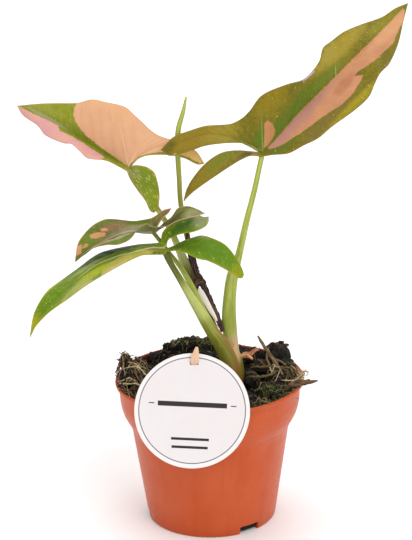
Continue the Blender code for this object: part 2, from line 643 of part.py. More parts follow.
def make_soil():
    soil = add_object("soil", soil_mound(), "soil", 30.0)
    for name in ("crown", "twig", "bark_shard"):
        boolean(soil, seat_of(name, STEMS[name]), "DIFFERENCE")
    boolean(soil, seat_of("tag_pick", PICK), "DIFFERENCE")
    for k, turn in enumerate(channel_turns()):
        half = CHANNEL_WIDTH / 2 + WALL + SEAT_GAP
        inner = -CHANNEL_INNER_R + WALL + SEAT_GAP
        room = block((-half, -LIP_R, -1), (half, inner, CHANNEL_HEIGHT + WALL + SEAT_GAP), turn)
        boolean(soil, add_object("channel_room_%d" % k, room), "DIFFERENCE")
    apply_modifiers(soil)
    litter = bpy.data.collections.new("litter")
    bpy.context.scene.collection.children.link(litter)
    for k, piece in enumerate(litter_pieces()):
        obj = add_object("litter_%03d" % k, piece)
        bpy.context.scene.collection.objects.unlink(obj)
        litter.objects.link(obj)
    joined = soil.modifiers.new("join_litter", "BOOLEAN")
    joined.operation = "UNION"
    joined.solver = LITTER_SOLVER
    joined.operand_type = "COLLECTION"
    joined.collection = litter
    apply_modifiers(soil)
    for obj in list(litter.objects):
        bpy.data.objects.remove(obj, do_unlink=True)
    bpy.data.collections.remove(litter)
    keep_main_body(soil)
    return soil


# Stems

def seat_of(name, stations):
    """A cutter one seat gap larger than a stem, shared by all that stand against it."""
    existing = bpy.data.objects.get(name + "_seat")
    if existing:
        return existing
    return add_object(name + "_seat", stem(stations, STEM_ROWS[name], grow=SEAT_GAP))


def make_stems():
    made = {}
    for name, stations in STEMS.items():
        made[name] = add_object(name, stem(stations, STEM_ROWS[name]), STEM_FINISH.get(name, "stem"))
    crown_seat = seat_of("crown", STEMS["crown"])
    for name, leaf in LEAVES.items():
        stalk = made["petiole_" + name]
        boolean(stalk, crown_seat, "DIFFERENCE")
        boolean(stalk, make_foot_plane(name, leaf), "DIFFERENCE")
        boolean(stalk, make_blade("seat_for_" + name, leaf, 2 * SEAT_GAP), "DIFFERENCE", BLADE_SOLVER)
        apply_modifiers(stalk)
        keep_main_body(stalk)
    for name in ("spear_leaf", "dried_sheath"):
        boolean(made[name], seat_of("petiole_upper_left", STEMS["petiole_upper_left"]), "DIFFERENCE")
    return made


def make_stipule():
    """The dried, forked bract at the foot of the tall stalk."""
    stipule = add_object("dried_stipule", stem(STIPULE_FORKS[0], 6, sides=8), "stipule")
    fork = add_object("stipule_fork", stem(STIPULE_FORKS[1], 5, sides=8))
    boolean(stipule, fork, "UNION")
    boolean(stipule, seat_of("crown", STEMS["crown"]), "DIFFERENCE")
    return stipule


# Leaf blades

def leaf_frame(leaf):
    """A matrix from the leaf's own millimetres to the plant's."""
    foot = Vector(leaf["foot"])
    ahead = (Vector(leaf["tip"]) - foot).normalized()
    face = Vector(leaf["face"])
    up = (face - ahead * face.dot(ahead)).normalized()
    left = up.cross(ahead)
    axes = Matrix((ahead, left, up)).transposed()
    return Matrix.Translation(foot) @ axes.to_4x4(), (Vector(leaf["tip"]) - foot).length


def half_lobe(vein, margin):
    """Rows of points from a vein out to a margin, arched up a little between them."""
    rows = []
    for a, b in zip(vein, margin):
        width = (b - a).length
        row = []
        for k in range(BLADE_ACROSS + 1):
            share = k / BLADE_ACROSS
            row.append(a.lerp(b, share) + Vector((0, 0, LEAF_CROWN * width * 4 * share * (1 - share))))
        rows.append(row)
    return rows


def leaf_patches(leaf):
    """The six half lobes of a blade, each with whether its faces wind forwards."""
    origin = Vector((0, 0, 0))
    tip = Vector((leaf_frame(leaf)[1], 0, 0))
    midrib = smooth_curve([origin, *leaf["midrib"], tip], BLADE_ALONG)
    patches = []
    for side in ("left", "right"):
        half = leaf[side]
        forwards = side == "left"
        margin = smooth_curve([half["waist"], *half["margin"], tip], BLADE_ALONG)
        vein = smooth_curve([origin, *half["lobe_vein"], half["lobe_tip"]], LOBE_ALONG)
        outer = smooth_curve([half["waist"], *half["outer"], half["lobe_tip"]], LOBE_ALONG)
        inner = smooth_curve([origin, *half["inner"], half["lobe_tip"]], LOBE_ALONG)
        patches.append((half_lobe(midrib, margin), forwards))
        patches.append((half_lobe(vein, outer), not forwards))
        patches.append((half_lobe(vein, inner), forwards))
    return patches


def make_blade(name, leaf, grow=0.0, finish=None):
    """A blade of even thickness, split alike on both faces; without a finish it is a hidden cutter."""
    frame, _ = leaf_frame(leaf)
    bm = bmesh.new()
    for rows, forwards in leaf_patches(leaf):
        grid = [[bm.verts.new(frame @ p * MM) for p in row] for row in rows]
        for low, high in zip(grid, grid[1:]):
            for k in range(BLADE_ACROSS):
                corners = [low[k], high[k], high[k + 1], low[k + 1]]
                bm.faces.new(corners if forwards else corners[::-1])
    bmesh.ops.remove_doubles(bm, verts=bm.verts, dist=0.00002)
    bmesh.ops.dissolve_degenerate(bm, dist=0.00001, edges=bm.edges)
    bmesh.ops.triangulate(bm, faces=bm.faces, quad_method="SHORT_EDGE")
    mesh = bpy.data.meshes.new(name)
    bm.to_mesh(mesh)
    bm.free()
    obj = bpy.data.objects.new(name, mesh)
    bpy.context.scene.collection.objects.link(obj)
    if finish:
        mesh.materials.append(material_for(name, finish))
        mesh.shade_smooth()
    else:
        obj.hide_render = True
        obj.display_type = "WIRE"
    thick = obj.modifiers.new("thickness", "SOLIDIFY")
    thick.thickness = (BLADE_THICKNESS + grow) * MM
    thick.offset = 0.0
    thick.use_quality_normals = True
    return obj


def make_foot_plane(name, leaf):
    """A cutter over the foot of a blade, which ends the stalk just under it."""
    frame, _ = leaf_frame(leaf)
    reach = FOOT_PLANE_REACH
    points, faces = block((-reach, -reach, -BLADE_THICKNESS / 2 - SEAT_GAP), (reach, reach, reach))
    return add_object("foot_plane_" + name, ([frame @ Vector(p) for p in points], faces))


# Tag and its pick

def make_tag():
    half = TAG_THICKNESS / 2
    points, faces = lathe([(0, -half), (TAG_R, -half), (TAG_R, half), (0, half)], TAG_SEGMENTS)
    lean = Matrix.Rotation(math.radians(90 - TAG_LEAN), 4, "X")
    turn = Matrix.Rotation(math.radians(-TAG_TURN), 4, "Z")
    place = Matrix.Translation(Vector(TAG_CENTRE)) @ lean @ turn
    tag = add_object("name_tag", ([place @ Vector(p) for p in points], faces), "tag")
    width, height = SLOT_SIZE
    low = (SLOT_SIDE - width / 2, SLOT_UP - height / 2, -5)
    high = (SLOT_SIDE + width / 2, SLOT_UP + height / 2, 5)
    points, faces = block(low, high)
    place = Matrix.Translation(Vector(TAG_CENTRE)) @ lean
    slot = add_object("tag_slot", ([place @ Vector(p) for p in points], faces))
    boolean(tag, slot, "DIFFERENCE")
    return tag


def make_pick():
    return add_object("tag_pick", stem(PICK, STEM_ROWS["tag_pick"], sides=8), "pick")


def main():
    clear_scene()
    make_pot()
    make_soil()
    make_stems()
    make_stipule()
    for name, leaf in LEAVES.items():
        make_blade("leaf_" + name, leaf, finish="leaf")
    make_tag()
    make_pick()


main()
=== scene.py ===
"""Arrowhead plant in its terracotta-coloured nursery pot: its finished surfaces.

Laid out as an add-on and run as a script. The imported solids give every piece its
place, and each operator builds the fine pieces that stand for them. Lengths in the
constants are millimetres, turned into metres when a mesh is made. X is the viewer's
right, Y points away from the viewer and Z up, from the middle of the pot's underside.
"""

import itertools
import math
import random

import bmesh
import bpy
import numpy as np
from bpy.props import FloatProperty, FloatVectorProperty, IntProperty, PointerProperty
from mathutils import Matrix, Vector, noise
from mathutils.bvhtree import BVHTree


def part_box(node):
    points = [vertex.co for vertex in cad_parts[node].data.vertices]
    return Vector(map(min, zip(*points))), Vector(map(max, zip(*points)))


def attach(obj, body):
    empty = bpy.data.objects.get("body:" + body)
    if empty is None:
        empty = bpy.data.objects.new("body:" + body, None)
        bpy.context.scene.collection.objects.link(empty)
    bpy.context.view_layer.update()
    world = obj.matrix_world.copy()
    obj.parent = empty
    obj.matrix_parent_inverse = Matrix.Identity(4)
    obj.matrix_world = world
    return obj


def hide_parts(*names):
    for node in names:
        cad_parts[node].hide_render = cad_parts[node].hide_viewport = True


bl_info = {
    "name": "Potted Arrowhead Plant",
    "version": (1, 0, 0),
    "blender": (4, 5, 0),
    "location": "3D View > Sidebar > Plant",
    "description": "Builds a potted arrowhead plant round its packed solids",
    "category": "Add Mesh",
}

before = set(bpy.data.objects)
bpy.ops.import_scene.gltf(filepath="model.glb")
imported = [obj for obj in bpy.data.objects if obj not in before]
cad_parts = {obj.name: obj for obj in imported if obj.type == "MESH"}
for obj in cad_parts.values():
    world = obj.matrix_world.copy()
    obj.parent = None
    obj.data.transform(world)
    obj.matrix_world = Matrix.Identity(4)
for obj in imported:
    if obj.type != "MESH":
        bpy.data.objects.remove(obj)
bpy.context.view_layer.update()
POT_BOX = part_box("pot")

MM = 0.001
TINY = 1e-12            # stands for nothing where one divides by a length
WELD = 0.001            # points as near as this are one
CURVE_STEPS = 12        # fine steps between two given points of a curve

# Pot
WALL = 1.2
BASE_R = 41.2
BAND_R = 57.6
BAND_FOOT_Z = 62.0
# From the body out to the band: radius outside, height outside, height inside
BAND_CURVE = [(51.6, 65, 65.8), (53.4, 68, 68.8), (55.2, 71.5, 72.2), (56.4, 75.5, 76), (57.2, 80, 80.2),
              (BAND_R, 89.6, 89.6)]
BODY_TOP_R = 50.0
BODY_TOP_Z = 60.4
FLOOR = 1.5
FOOT_BEVEL = 0.8
LIP_Z = 90.6            # the lip's lower edge
LIP_BEVEL = 0.6
LIP_TOP = 2.2           # width of the lip's flat top
LIP_SLOPE = (0.8, 1.0)  # from there, inwards and down
POT_EDGE = 35.0         # degrees from which the pot's edges look sharp
PAST_WALL = 60.0        # far enough out for a cutter to pass the wall
PAST_FLOOR = 2.0        # and far enough up or down to pass the floor
CHANNEL_TURNS = (34.5, 154.5, 274.5)    # degrees round from the front
CHANNEL_WIDTH = 14.0
CHANNEL_HEIGHT = 5.5
CHANNEL_INNER_R = 28.0
CHANNEL_SILL = 0.2      # how far the channels' shells stay off the ground
CHANNEL_EASE = 0.9      # of the edges of their hollows
DRAIN_HOLE_R = 3.0
DRAIN_HOLE_OUT = 33.0
ROUNDING = 0.35         # of the pot's moulded corners
ROUNDING_STEPS = 3

# Each leaf blade hangs in a frame of its own. foot is where its stalk joins, tip is
# the point of the main lobe, and the upper face looks towards face. A point is
# (along the line from foot to tip, out to the left, above it).
LEAVES = {
    "upper_right": {
        "foot": (35, 3, 239),
        "tip": (127, 38, 323),
        "face": (-0.15, -0.75, 0.6),
        "midrib": [(33, 0, 2), (65, -1, 3), (97, -1, 2)],
        "left": {
            "waist": (13, 22, 8),
            "margin": [(25, 23, 9), (39, 16, 11), (49, 10, 11), (57, 10, 10), (65, 12, 9), (72, 16, 9),
                       (79, 16, 7), (88, 14, 8), (99, 10, 6), (112, 5, 2), (121, 3, 2)],
            "lobe_vein": [(-3, 11, 4), (-7, 20, 6), (-16, 32, 8), (-31, 40, 9)],
            "lobe_tip": (-42, 45, 11),
            "outer": [(7, 23, 6), (0, 26, 5), (-6, 31, 6), (-12, 36, 8), (-21, 41, 9), (-31, 45, 11)],
            "inner": [(-1.5, 7, 4), (-9, 15.5, 8), (-21, 26, 9), (-28, 30, 9), (-35, 34, 9), (-41, 39, 9)],
        },
        "right": {
            "waist": (-2.5, -1.5, 0),
            "margin": [(3, -7, 2), (10, -14, 3), (20, -18, 4), (29, -21, 3), (39, -22, 3), (58, -25, 2),
                       (69, -25, 1), (77, -22, 1), (84, -20, 2), (93, -19, 0), (106, -14, 0), (119, -6, 0)],
            "lobe_vein": [(-5, 3.5, 2), (-15, 9, 7), (-31, 13, 9), (-46, 14, 7)],
            "lobe_tip": (-55, 14, 2),
            "outer": [(-6.5, 2.5, 3), (-11, 4, 5), (-19, 6, 6), (-36, 9, 8), (-47, 11.5, 7)],
            "inner": [(-4.5, 5, 3), (-11, 11.5, 6), (-18, 16, 8), (-28, 18.5, 8), (-39, 18.5, 7),
                      (-48, 17, 5)],
        },
    },
    "upper_left": {
        "foot": (-48, 18, 227),
        "tip": (-119, 54, 259),
        "face": (0.2, -0.85, 0.5),
        "midrib": [(18, 0, -1), (34, -1, 0), (55, -2, 0)],
        "left": {
            "waist": (-1, 3, 1),
            "margin": [(6, 5, 7), (12, 6, 8), (23, 10, 7), (29, 9, 8), (37, 7, 7), (43, 8, 4), (58, 8, 0),
                       (66, 5, 0), (79, 3, -2)],
            "lobe_vein": [(-9, 2, 1), (-17, 5, -2), (-22, 9, -6)],
            "lobe_tip": (-27, 14, -12),
            "outer": [(-4, 5, -3), (-11, 8, -6), (-19, 11, -9), (-24, 14, -12)],
            "inner": [(-4, -2, 4), (-11, -4, 6), (-16, -4, 6), (-19, -3, 5), (-25, 3, -2), (-28, 10, -9)],
        },
        "right": {
            "waist": (1, -26, 8.5),
            "margin": [(6, -27, 10.5), (12, -28, 12), (20, -29, 14), (33, -26, 13), (42, -24, 11),
                       (50, -19, 7), (62, -13, 5), (73, -8, 2)],
            "lobe_vein": [(-1.5, -5, 2.5), (-3.5, -10.5, 4), (-11, -21, 4.5), (-21, -26.5, 2),
                          (-31, -28, -1)],
            "lobe_tip": (-38, -28, -5),
            "outer": [(-6, -26, 6), (-13, -28, 4), (-21, -31, 3), (-31, -31, -1)],
            "inner": [(-2.5, -5, 3), (-6.5, -10, 5), (-14, -16, 4), (-20, -20, 2), (-27, -23, 0),
                      (-35, -25, -4)],
        },
    },
    "middle_left": {
        "foot": (-33, -4, 191),
        "tip": (-80, -34, 183),
        "face": (0.05, -0.5, 0.86),
        "midrib": [(16, -3, 6), (29, -3, 6), (44, -2, 4)],
        "left": {
            "waist": (7, 1, 12),
            "margin": [(10, 1, 12), (15, 3, 12), (20, 6, 11), (25, 8, 11), (32, 8, 11), (39, 6, 12),
                       (46, 4, 11), (50, 2, 8)],
            "lobe_vein": [(-1, 3, 6), (-4, 5, 10), (-9, 7, 16), (-16, 10, 20)],
            "lobe_tip": (-25, 16, 20),
            "outer": [(5, 4, 11), (-1, 7, 11), (-3, 9, 12), (-7, 11, 16), (-13, 14, 19), (-20, 16, 20)],
            "inner": [(-1, 1, 4), (-2, 3, 7), (-5, 3, 10), (-9, 4, 13), (-14, 3, 18), (-19, 6, 20),
                      (-23, 11, 20)],
        },
        "right": {
            "waist": (-4, -9, 3),
            "margin": [(1, -10, 3), (8, -11, 4), (21, -16, 7), (27, -16, 9), (35, -15, 9), (43, -12, 8),
                       (50, -8, 6), (55, -2, 2)],
            "lobe_vein": [(-4, -4, 2), (-10, -6, 5)],
            "lobe_tip": (-17, -7, 8),
            "outer": [(-8, -8.5, 5), (-12, -8.5, 7)],
            "inner": [(-4, -2, 1), (-7, -3.5, 3), (-10, -4.5, 5), (-14, -5.5, 6)],
        },
    },
    "lower_left": {
        "foot": (-26, -8, 182),
        "tip": (-107, -61, 145),
        "face": (-0.1, -0.4, 0.9),
        "midrib": [(9, 1, 8), (19, 2, 13), (33, -1, 16), (50, -2, 19), (61, 0, 19.5), (75, 0, 17),
                   (90, -1, 11)],
        "left": {
            "waist": (1, 3, 0),
            "margin": [(4, 5, 1), (12, 6, 7), (20, 7, 13), (28, 8, 16), (43, 10, 20), (63, 10, 21),
                       (76, 9, 19), (89, 5, 14), (99, 2, 7)],
            "lobe_vein": [(-7, 7, 1), (-16, 15, 0), (-23, 25, -5), (-27, 35, -10)],
            "lobe_tip": (-26, 41, -17),
            "outer": [(-4, 11, 2), (-9, 22, -1), (-13, 26, -3), (-19, 35, -9), (-23, 41, -15)],
            "inner": [(-4, 2, 0), (-11, 4, 1), (-17, 6, 1), (-22, 10, 2), (-26, 15, 0), (-30, 23, -4),
                      (-30, 34, -12), (-28, 40, -16)],
        },
        "right": {
            "waist": (0, -3.5, 3),
            "margin": [(4, -5, 4), (10, -9, 5), (22, -12, 9), (35, -14, 13), (44, -14, 14), (52, -14, 13),
                       (68, -12, 14), (79, -10, 15), (87, -8, 13), (95, -5, 9)],
            "lobe_vein": [(-6, -2, 6), (-16, 3, 10), (-24, 6, 11)],
            "lobe_tip": (-30, 9, 12),
            "outer": [(-5, -7, 6), (-12, -6, 9), (-18, -4, 10), (-26, 1, 11), (-29, 6, 10)],
            "inner": [(-4, -0.5, 4), (-8, 4, 8), (-12, 7, 9), (-16, 10, 9), (-24, 12, 9), (-28, 11, 10)],
        },
    },
}
LEAF_CROWN = 0.07       # how far a half blade bulges up between vein and margin, of its width
BLADE_HALF = 0.2        # half the blade's thickness, and the margin's share of it
MARGIN_SHARE = 0.45
COLUMN_PACKING = 1.25   # above 1, a half blade's columns draw together at the vein
SMOOTHING_ROUNDS = 7
CREASE_DEPTH = 0.35     # of the furrow over a main vein, and its half width
CREASE_HALF = 0.8
RIB_HALF = 0.9          # half width of the rib under a main vein
QUILT_FADE = 5.0        # the quilting sets in over this much from vein and margin
FINE_RELIEF = 0.25      # height and width of the blade's fine unevenness
FINE_WIDTH = 6.0
KEYS_A_MM = 2000        # steps in a millimetre by which grid points are told apart
VEIN_SPACING = 8.0      # lateral veins, along a main vein
VEIN_SLANT = 0.62       # how far a lateral vein runs ahead for each step outwards

# Patches of another colour on the blades: outlines of (along, out to the left)
PATCHES = {
    "upper_right": [
        [[(4, -0.6), (20, -0.2), (33, 0.2), (50, -0.4), (65, -0.8), (97, -0.8), (112, -0.6), (125, 0),
          (124, -2), (119, -6), (113, -8), (104, -12), (96, -12), (87, -12), (83, -11), (76, -9.3),
          (72, -9.5), (77, -13), (72, -15), (64, -17), (54, -17), (46, -15), (36, -13), (24, -11),
          (14, -8), (9, -6), (5, -3)]],
        [[(16, 10), (17, 7), (15, 2.5), (10, 0.6), (5, 0.2), (2, 0.8), (5, 3), (10, 7), (13, 10)]],
        [[(42, 20), (44, 12.6), (49, 8.6), (57, 8.6), (60, 12), (58, 20)]],
    ],
    "upper_left": [
        [[(50, -34), (51, -20), (50, -15), (48.5, -11), (45, -8.4), (41, -6.4), (36, -4.4), (28, -3.2),
          (20, -2.2), (11, -1.2), (2, -0.3), (0, -1.5), (-3, -8), (-7, -12), (-13, -17.5), (-20, -21.8),
          (-27, -24.5), (-36, -26.5), (-42, -40), (0, -44), (50, -40)]],
        [[(88, 1), (86, -0.4), (73, -0.8), (63, -1.6), (55, -1.7), (51, 1.2), (42, 0.8), (30, 1.4),
          (20, 1.6), (15, 3.2), (14, 16), (60, 16), (90, 8)]],
        [[(-30, 20), (-27, 3), (-19, -3), (-13, -3.4), (-14, -8), (-34, -8), (-36, 20)]],
    ],
    "middle_left": [
        [[(41.5, -9.2), (38, -9.4), (34, -8.2), (31, -6.8), (32.6, -5.2), (38, -5.6), (41.5, -7.2)],
         [(33.6, -10.6), (29.8, -9.8), (28, -7.8), (30.6, -7.7), (32.8, -8.8)],
         [(50.6, -6.8), (48, -6.2), (49.9, -4.1), (51, -1.6), (54.2, -2.4), (52.4, -5)],
         [(46.2, -5.8), (44.4, -5.1), (45.6, -3.8), (47.5, -3.6), (48.9, -4.4)]],
        [[(40.5, -3.3), (36, -3.2), (31.5, -2.2), (33, 0.2), (36, 0.9), (40.2, 0.7)]],
        [[(52, 2), (47, 3), (43, 4), (43, 7), (50, 6), (54, 3)]],
    ],
    "lower_left": [
        [[(-2, -1), (8, 0.5), (14, 1.3), (21, 1.5), (28, 1.1), (34, 1.5), (38, 2.8), (43, 4), (47, 5.5),
          (50, 7.5), (53, 10.5), (54, 14), (28, 14), (22, 7.6), (16, 6.2), (11, 4.5), (6, 3.4), (0, 1)]],
        [[(58, 8.6), (66, 8.2), (72, 8.4), (80, 8.2), (84, 7), (84, 12), (60, 14)]],
        [[(-17, 32), (-20, 36), (-23.4, 39), (-24, 43), (-19, 43), (-14, 35)]],
    ],
}

# A stem is a list of stations: x, y, z, half width, half depth.
STEMS = {
    "crown": [(12.6, -7, 116, 3.6, 5.0), (14.4, -6, 109, 5.6, 7.6), (15.8, -5, 100, 6.0, 8.8),
              (16.6, -5, 88, 6.2, 8.6), (18, -5, 74, 6.0, 8.0), (19, -5, 62, 4.8, 6.0)],
    "petiole_upper_right": [
        (35.3, 2, 241, 1.5, 1.4), (34.6, 3.4, 236, 1.6, 1.5), (33, 3, 229, 1.6, 1.5), (30, 1, 216, 1.7, 1.6),
        (25, 0, 197, 1.9, 1.8), (19, 1, 171, 2.4, 2.3), (15.5, 1, 160, 3.6, 2.8), (13.5, 1, 145, 4.0, 3.0),
        (13, 1, 132, 4.5, 3.2), (13.9, 0, 118, 4.4, 3.4), (15.6, -2, 106, 4.0, 3.2)],
    "petiole_upper_left": [
        (-49, 17, 228, 1.3, 1.2), (-46, 19, 223.5, 1.4, 1.3), (-41, 17.5, 216, 1.5, 1.4),
        (-34, 14, 207, 1.6, 1.5), (-29, 12, 199, 1.7, 1.6), (-22.8, 9, 189, 1.8, 1.7),
        (-18, 6, 178, 2.3, 1.8), (-15.5, 5, 171.5, 2.8, 1.9), (-12.6, 4, 165, 3.2, 1.9),
        (-8.7, 3, 152, 3.0, 2.0), (-4, 2.5, 142, 2.8, 2.2), (1, 3, 130, 2.8, 2.4),
        (6, 4, 117, 2.8, 2.6), (12, 2, 104, 2.6, 2.4)],
    "petiole_middle_left": [
        (-33.5, -4.5, 192.2, 1.2, 1.2), (-31.5, -3.5, 189, 1.3, 1.3), (-28, -3, 184, 1.3, 1.3),
        (-23.6, -2, 177, 1.4, 1.4), (-18.2, -2.5, 170, 1.5, 1.6), (-12.8, -3.5, 161, 1.7, 1.8),
        (-8, -4, 151, 2.0, 2.0), (-3, -4.5, 139, 2.2, 2.0), (4, -5, 126, 2.2, 2.0), (12, -5, 112, 2.2, 2.0)],
    "petiole_lower_left": [
        (-27, -8.2, 183.4, 2.3, 1.8), (-25.8, -8.3, 180.2, 2.3, 1.8), (-23.4, -9, 174, 1.9, 1.7),
        (-16.8, -10, 162, 2.1, 1.9), (-9.6, -11, 149, 2.8, 2.2), (1.2, -12.5, 130, 4.0, 3.0),
        (9.0, -13, 117, 5.0, 3.6), (13.8, -11.6, 104, 5.4, 4.0), (15.2, -10, 98, 5.2, 4.0)],
    "spear_leaf": [
        (-11, 15, 272, 0.5, 0.5), (-13, 15, 263, 1.2, 1.1), (-16, 14.5, 253, 1.6, 1.5),
        (-17, 14, 245, 1.6, 1.5), (-17, 13, 235, 1.6, 1.6), (-16.5, 12, 221, 1.5, 1.5),
        (-16, 11, 206, 1.5, 1.5), (-14, 10, 193, 1.5, 1.5), (-12, 9, 180, 1.4, 1.4),
        (-10.5, 6, 170, 1.2, 1.2)],
    "dried_sheath": [
        (-12, 6, 188, 1.0, 0.6), (-11, 5, 178, 1.8, 0.7), (-9, 4, 169, 2.1, 0.8),
        (-6.7, 2.8, 160.5, 2.5, 0.9), (-3.4, 2, 155.5, 2.1, 0.9), (-1.5, 1.5, 151, 1.8, 0.9),
        (2.4, 0.5, 141, 2.0, 0.9), (6.5, -0.5, 131, 1.8, 0.8), (8.8, -1.5, 124, 1.2, 0.6)],
    "papery_sheath": [
        (-5.6, -0.1, 152.8, 0.8, 0.4), (-4.6, -0.3, 150.6, 1.8, 0.4), (-3.2, -0.6, 147.6, 2.0, 0.4),
        (-1.0, -1.0, 143.6, 1.8, 0.4), (1.2, -1.4, 139.2, 1.6, 0.4), (3.8, -2, 134.4, 1.2, 0.4),
        (5.2, -2.4, 131.6, 0.6, 0.4)],
    "twig": [(31.5, 15, 114.5, 0.5, 0.5), (33.6, 12, 111.5, 0.9, 0.9), (38, 5, 106.5, 1.1, 1.0),
             (43.6, -4, 100, 1.2, 1.1), (48, -11, 93.5, 1.0, 0.9), (49.5, -14, 86, 0.8, 0.8)],
    "bark_shard": [(44.5, -21, 85, 0.9, 0.9), (46.5, -21, 90, 1.2, 1.0), (51, -20.5, 94, 2.0, 1.2),
                   (55.5, -20.5, 95.8, 2.1, 1.0), (59.5, -21, 96.2, 1.5, 0.9), (63.5, -21.4, 96.8, 1.1, 0.8),
                   (67.5, -22, 97.8, 0.4, 0.4)],
    "tag_pick": [
        (-7.4, -52.9, 133.8, 0.7, 0.5), (-7.6, -53.3, 132, 1.4, 0.6), (-8.2, -53.8, 129, 2.1, 0.6),
        (-8.9, -54, 126.2, 2.4, 0.6), (-9.2, -52.5, 123.2, 2.4, 0.6), (-9.5, -51, 120.4, 2.4, 0.6),
        (-10, -49.4, 113, 2.4, 0.6),
        (-11, -46.5, 95, 2.4, 0.6), (-11.5, -43.5, 78, 2.2, 0.6), (-12, -40.5, 60, 0.8, 0.5)],
}
# What grows on a stem: the dried sheath's collar, wrapped over the stalk beside it, and the twig's forks
OFFSHOOTS = {
    "dried_sheath": [[(-9.0, -0.5, 152, 0.6, 0.5), (-7.6, -0.4, 154.2, 1.6, 0.7), (-5.6, 0, 156.4, 2.0, 0.8),
                      (-3.6, 0.8, 157, 2.0, 0.8), (-1.8, 1.2, 155, 1.3, 0.6)]],
    "twig": [[(37.5, 6, 107, 0.6, 0.6), (36.6, 3, 103.5, 0.7, 0.7), (38.4, -1, 100, 0.6, 0.6),
              (38, -5, 97, 0.4, 0.4)],
             [(40.5, 1, 104, 0.6, 0.6), (45.5, 0, 102.5, 0.6, 0.6), (50, -3, 99.5, 0.4, 0.4)]],
}
STIPULE_FORKS = [
    [(18, -6, 108, 1.2, 0.6), (23, -6.5, 110, 1.7, 0.5), (27, -7, 111.3, 1.3, 0.5),
     (29, -7.4, 113.4, 1.1, 0.5), (31, -8, 114, 0.6, 0.4)],
    [(23, -6.5, 110, 1.0, 0.5), (25.5, -7.5, 108.8, 1.0, 0.5), (27.4, -8, 107.4, 0.5, 0.4)],
]
STEM_PITCH = 1.2        # length of one row of faces along a stem
STRIP_SIDES = 20        # faces round the bract and the pick
STEM_EDGE = 60.0        # degrees from which edges look sharp
CHIP_EDGE = 50.0
RIDGES = 7              # faint ridges round a stem, and their share of its size
RIDGE_DEPTH = 0.018
GROOVE_HALF = 0.3       # half width of a groove, in radians round the stem
GROOVE_LIPS = (0.6, 0.2, 0.45)  # how far out its lips are, their half width, and share of its depth
# Material slots of the stems that aren't green, and of the blades
STEM_SLOTS = {"twig": "bark", "bark_shard": "bark", "dried_sheath": "dried_sheath",
              "papery_sheath": "papery_sheath"}
LEAF_SLOTS = {"upper_right": "olive_leaf", "upper_left": "peach_leaf", "middle_left": "dark_leaf",
              "lower_left": "lime_leaf"}
# A stem's groove: its direction round the stem in degrees, and its depth
GROOVES = {"petiole_upper_right": (-150, 0.05), "petiole_upper_left": (-70, 0.14),
           "petiole_middle_left": (-60, 0.22), "petiole_lower_left": (-50, 0.24), "spear_leaf": (-20, 0.25)}
# How rough a stem's skin is, as a share of its size
ROUGHNESS = {"twig": 0.5, "bark_shard": 0.8, "dried_sheath": 0.45, "dried_stipule": 0.8, "tag_pick": 0.08}

# Tag
TAG_R = 35.1
TAG_THICKNESS = 0.8
TAG_BEVEL = 0.15
TAG_SEGMENTS = 160
PAST_CARD = 5.0
TAG_EDGE = 30.0         # degrees from which the tag's edges look sharp
TAG_CENTRE = (-11.0, -60.0, 95.0)
TAG_LEAN = 15.0         # degrees back, and round in its own plane
TAG_TURN = 3.8
SLOT_UP = 29.2
SLOT_SIDE = 1.8
SLOT_SIZE = (5.2, 2.4)
RING_R = 32.35
RING_UP = 0.27          # the ring's middle above the card's
# Printed rules: centre along and up, half length, half height
RULES = [(0, 4.0, 21.0, 1.5), (-24.8, 4.0, 1.7, 0.3), (25.0, 4.0, 1.7, 0.3),
         (-0.5, -17.2, 11.5, 0.8), (-0.5, -22.2, 11.0, 0.8)]

# Soil
PEAT_CUT_Z = 80.0       # the fine crust ends here, deep in the pot
CRUMBS_FROM_Z = 85.0    # the crust is smooth below this, and grows rough over the next stretch
CRUMBS_EASE = 4.0
# Crumbs of the crust: height, width, and a shift that keeps the sizes apart
CRUMB_SIZES = [(1.5, 5.5, 0), (1.0, 2.8, 3), (0.55, 1.4, 7)]
PLUG_GAP = 0.4          # between the plain plug and the pot
PLUG_LAP = 2.0          # how far the plug reaches up into the crust
PEAT_GAP = 0.25         # between the crust and the pot
WALL_TOP_Z = 92.5       # below this the peat keeps inside the wall
RIM_Z = 93.0
RIM_R = (56.0, 60.5)    # between these, litter lies on the rim
SOIL_R = 57.5           # litter is sown inside this radius
OVER_SOIL_Z = 130.0     # from here one looks down for the peat
BARE_Z = 84.0           # taken where no peat is found
LITTER_SEED = 7
CRUMB_BED = (0, 0, 55, 55)      # centre x and y, half widths
# Clods of matted peat heaped on the bed: centre, and half sizes
CLODS = [
    ((-53, 6, 97), (4, 6, 9.5)), ((-50, -2, 94), (7, 9, 6)), ((-42, -3, 93), (8, 9, 5.5)),
    ((-46, 12, 94), (7, 8, 6)), ((-40, -16, 91), (9, 8, 4.5)), ((-34, -28, 90), (8, 6, 4)),
    ((45, -10, 96), (9, 8, 5)), ((51, -2, 96), (5, 8, 5)), ((38, -24, 93), (9, 7, 4)),
    ((30, 22, 98), (8, 7, 5)), ((6, 44, 98.5), (9, 6, 5)), ((-12, 42, 99), (9, 6, 4)),
    ((44, 17, 99), (8, 8, 8.5)), ((-20, 41, 96.5), (9, 6, 6)), ((-31, 37, 92), (8, 6, 4.5)),
    ((36, 6, 96), (9, 8, 4)), ((27, -6, 92), (5, 9, 6)), ((-6, 43, 97), (13, 6, 5.5)),
    ((49, 9, 94), (5, 7, 6)),
]
# Where moss grows: centre x and y, half widths, strands, shortest and longest, how far they stand up
MOSS_BEDS = [
    (-8, 45, 27, 8, 520, 2, 5, 0.9),
    (40, -30, 8, 5, 190, 3, 7, 1.0),
    (50, -8, 6, 14, 60, 3, 8, 1.6),
    (-47, -6, 9, 14, 70, 3, 9, 1.6),
    (20, -43, 16, 6, 110, 3, 7, 1.0),
    (0, 0, 53, 53, 150, 2, 6, 0.6),
]
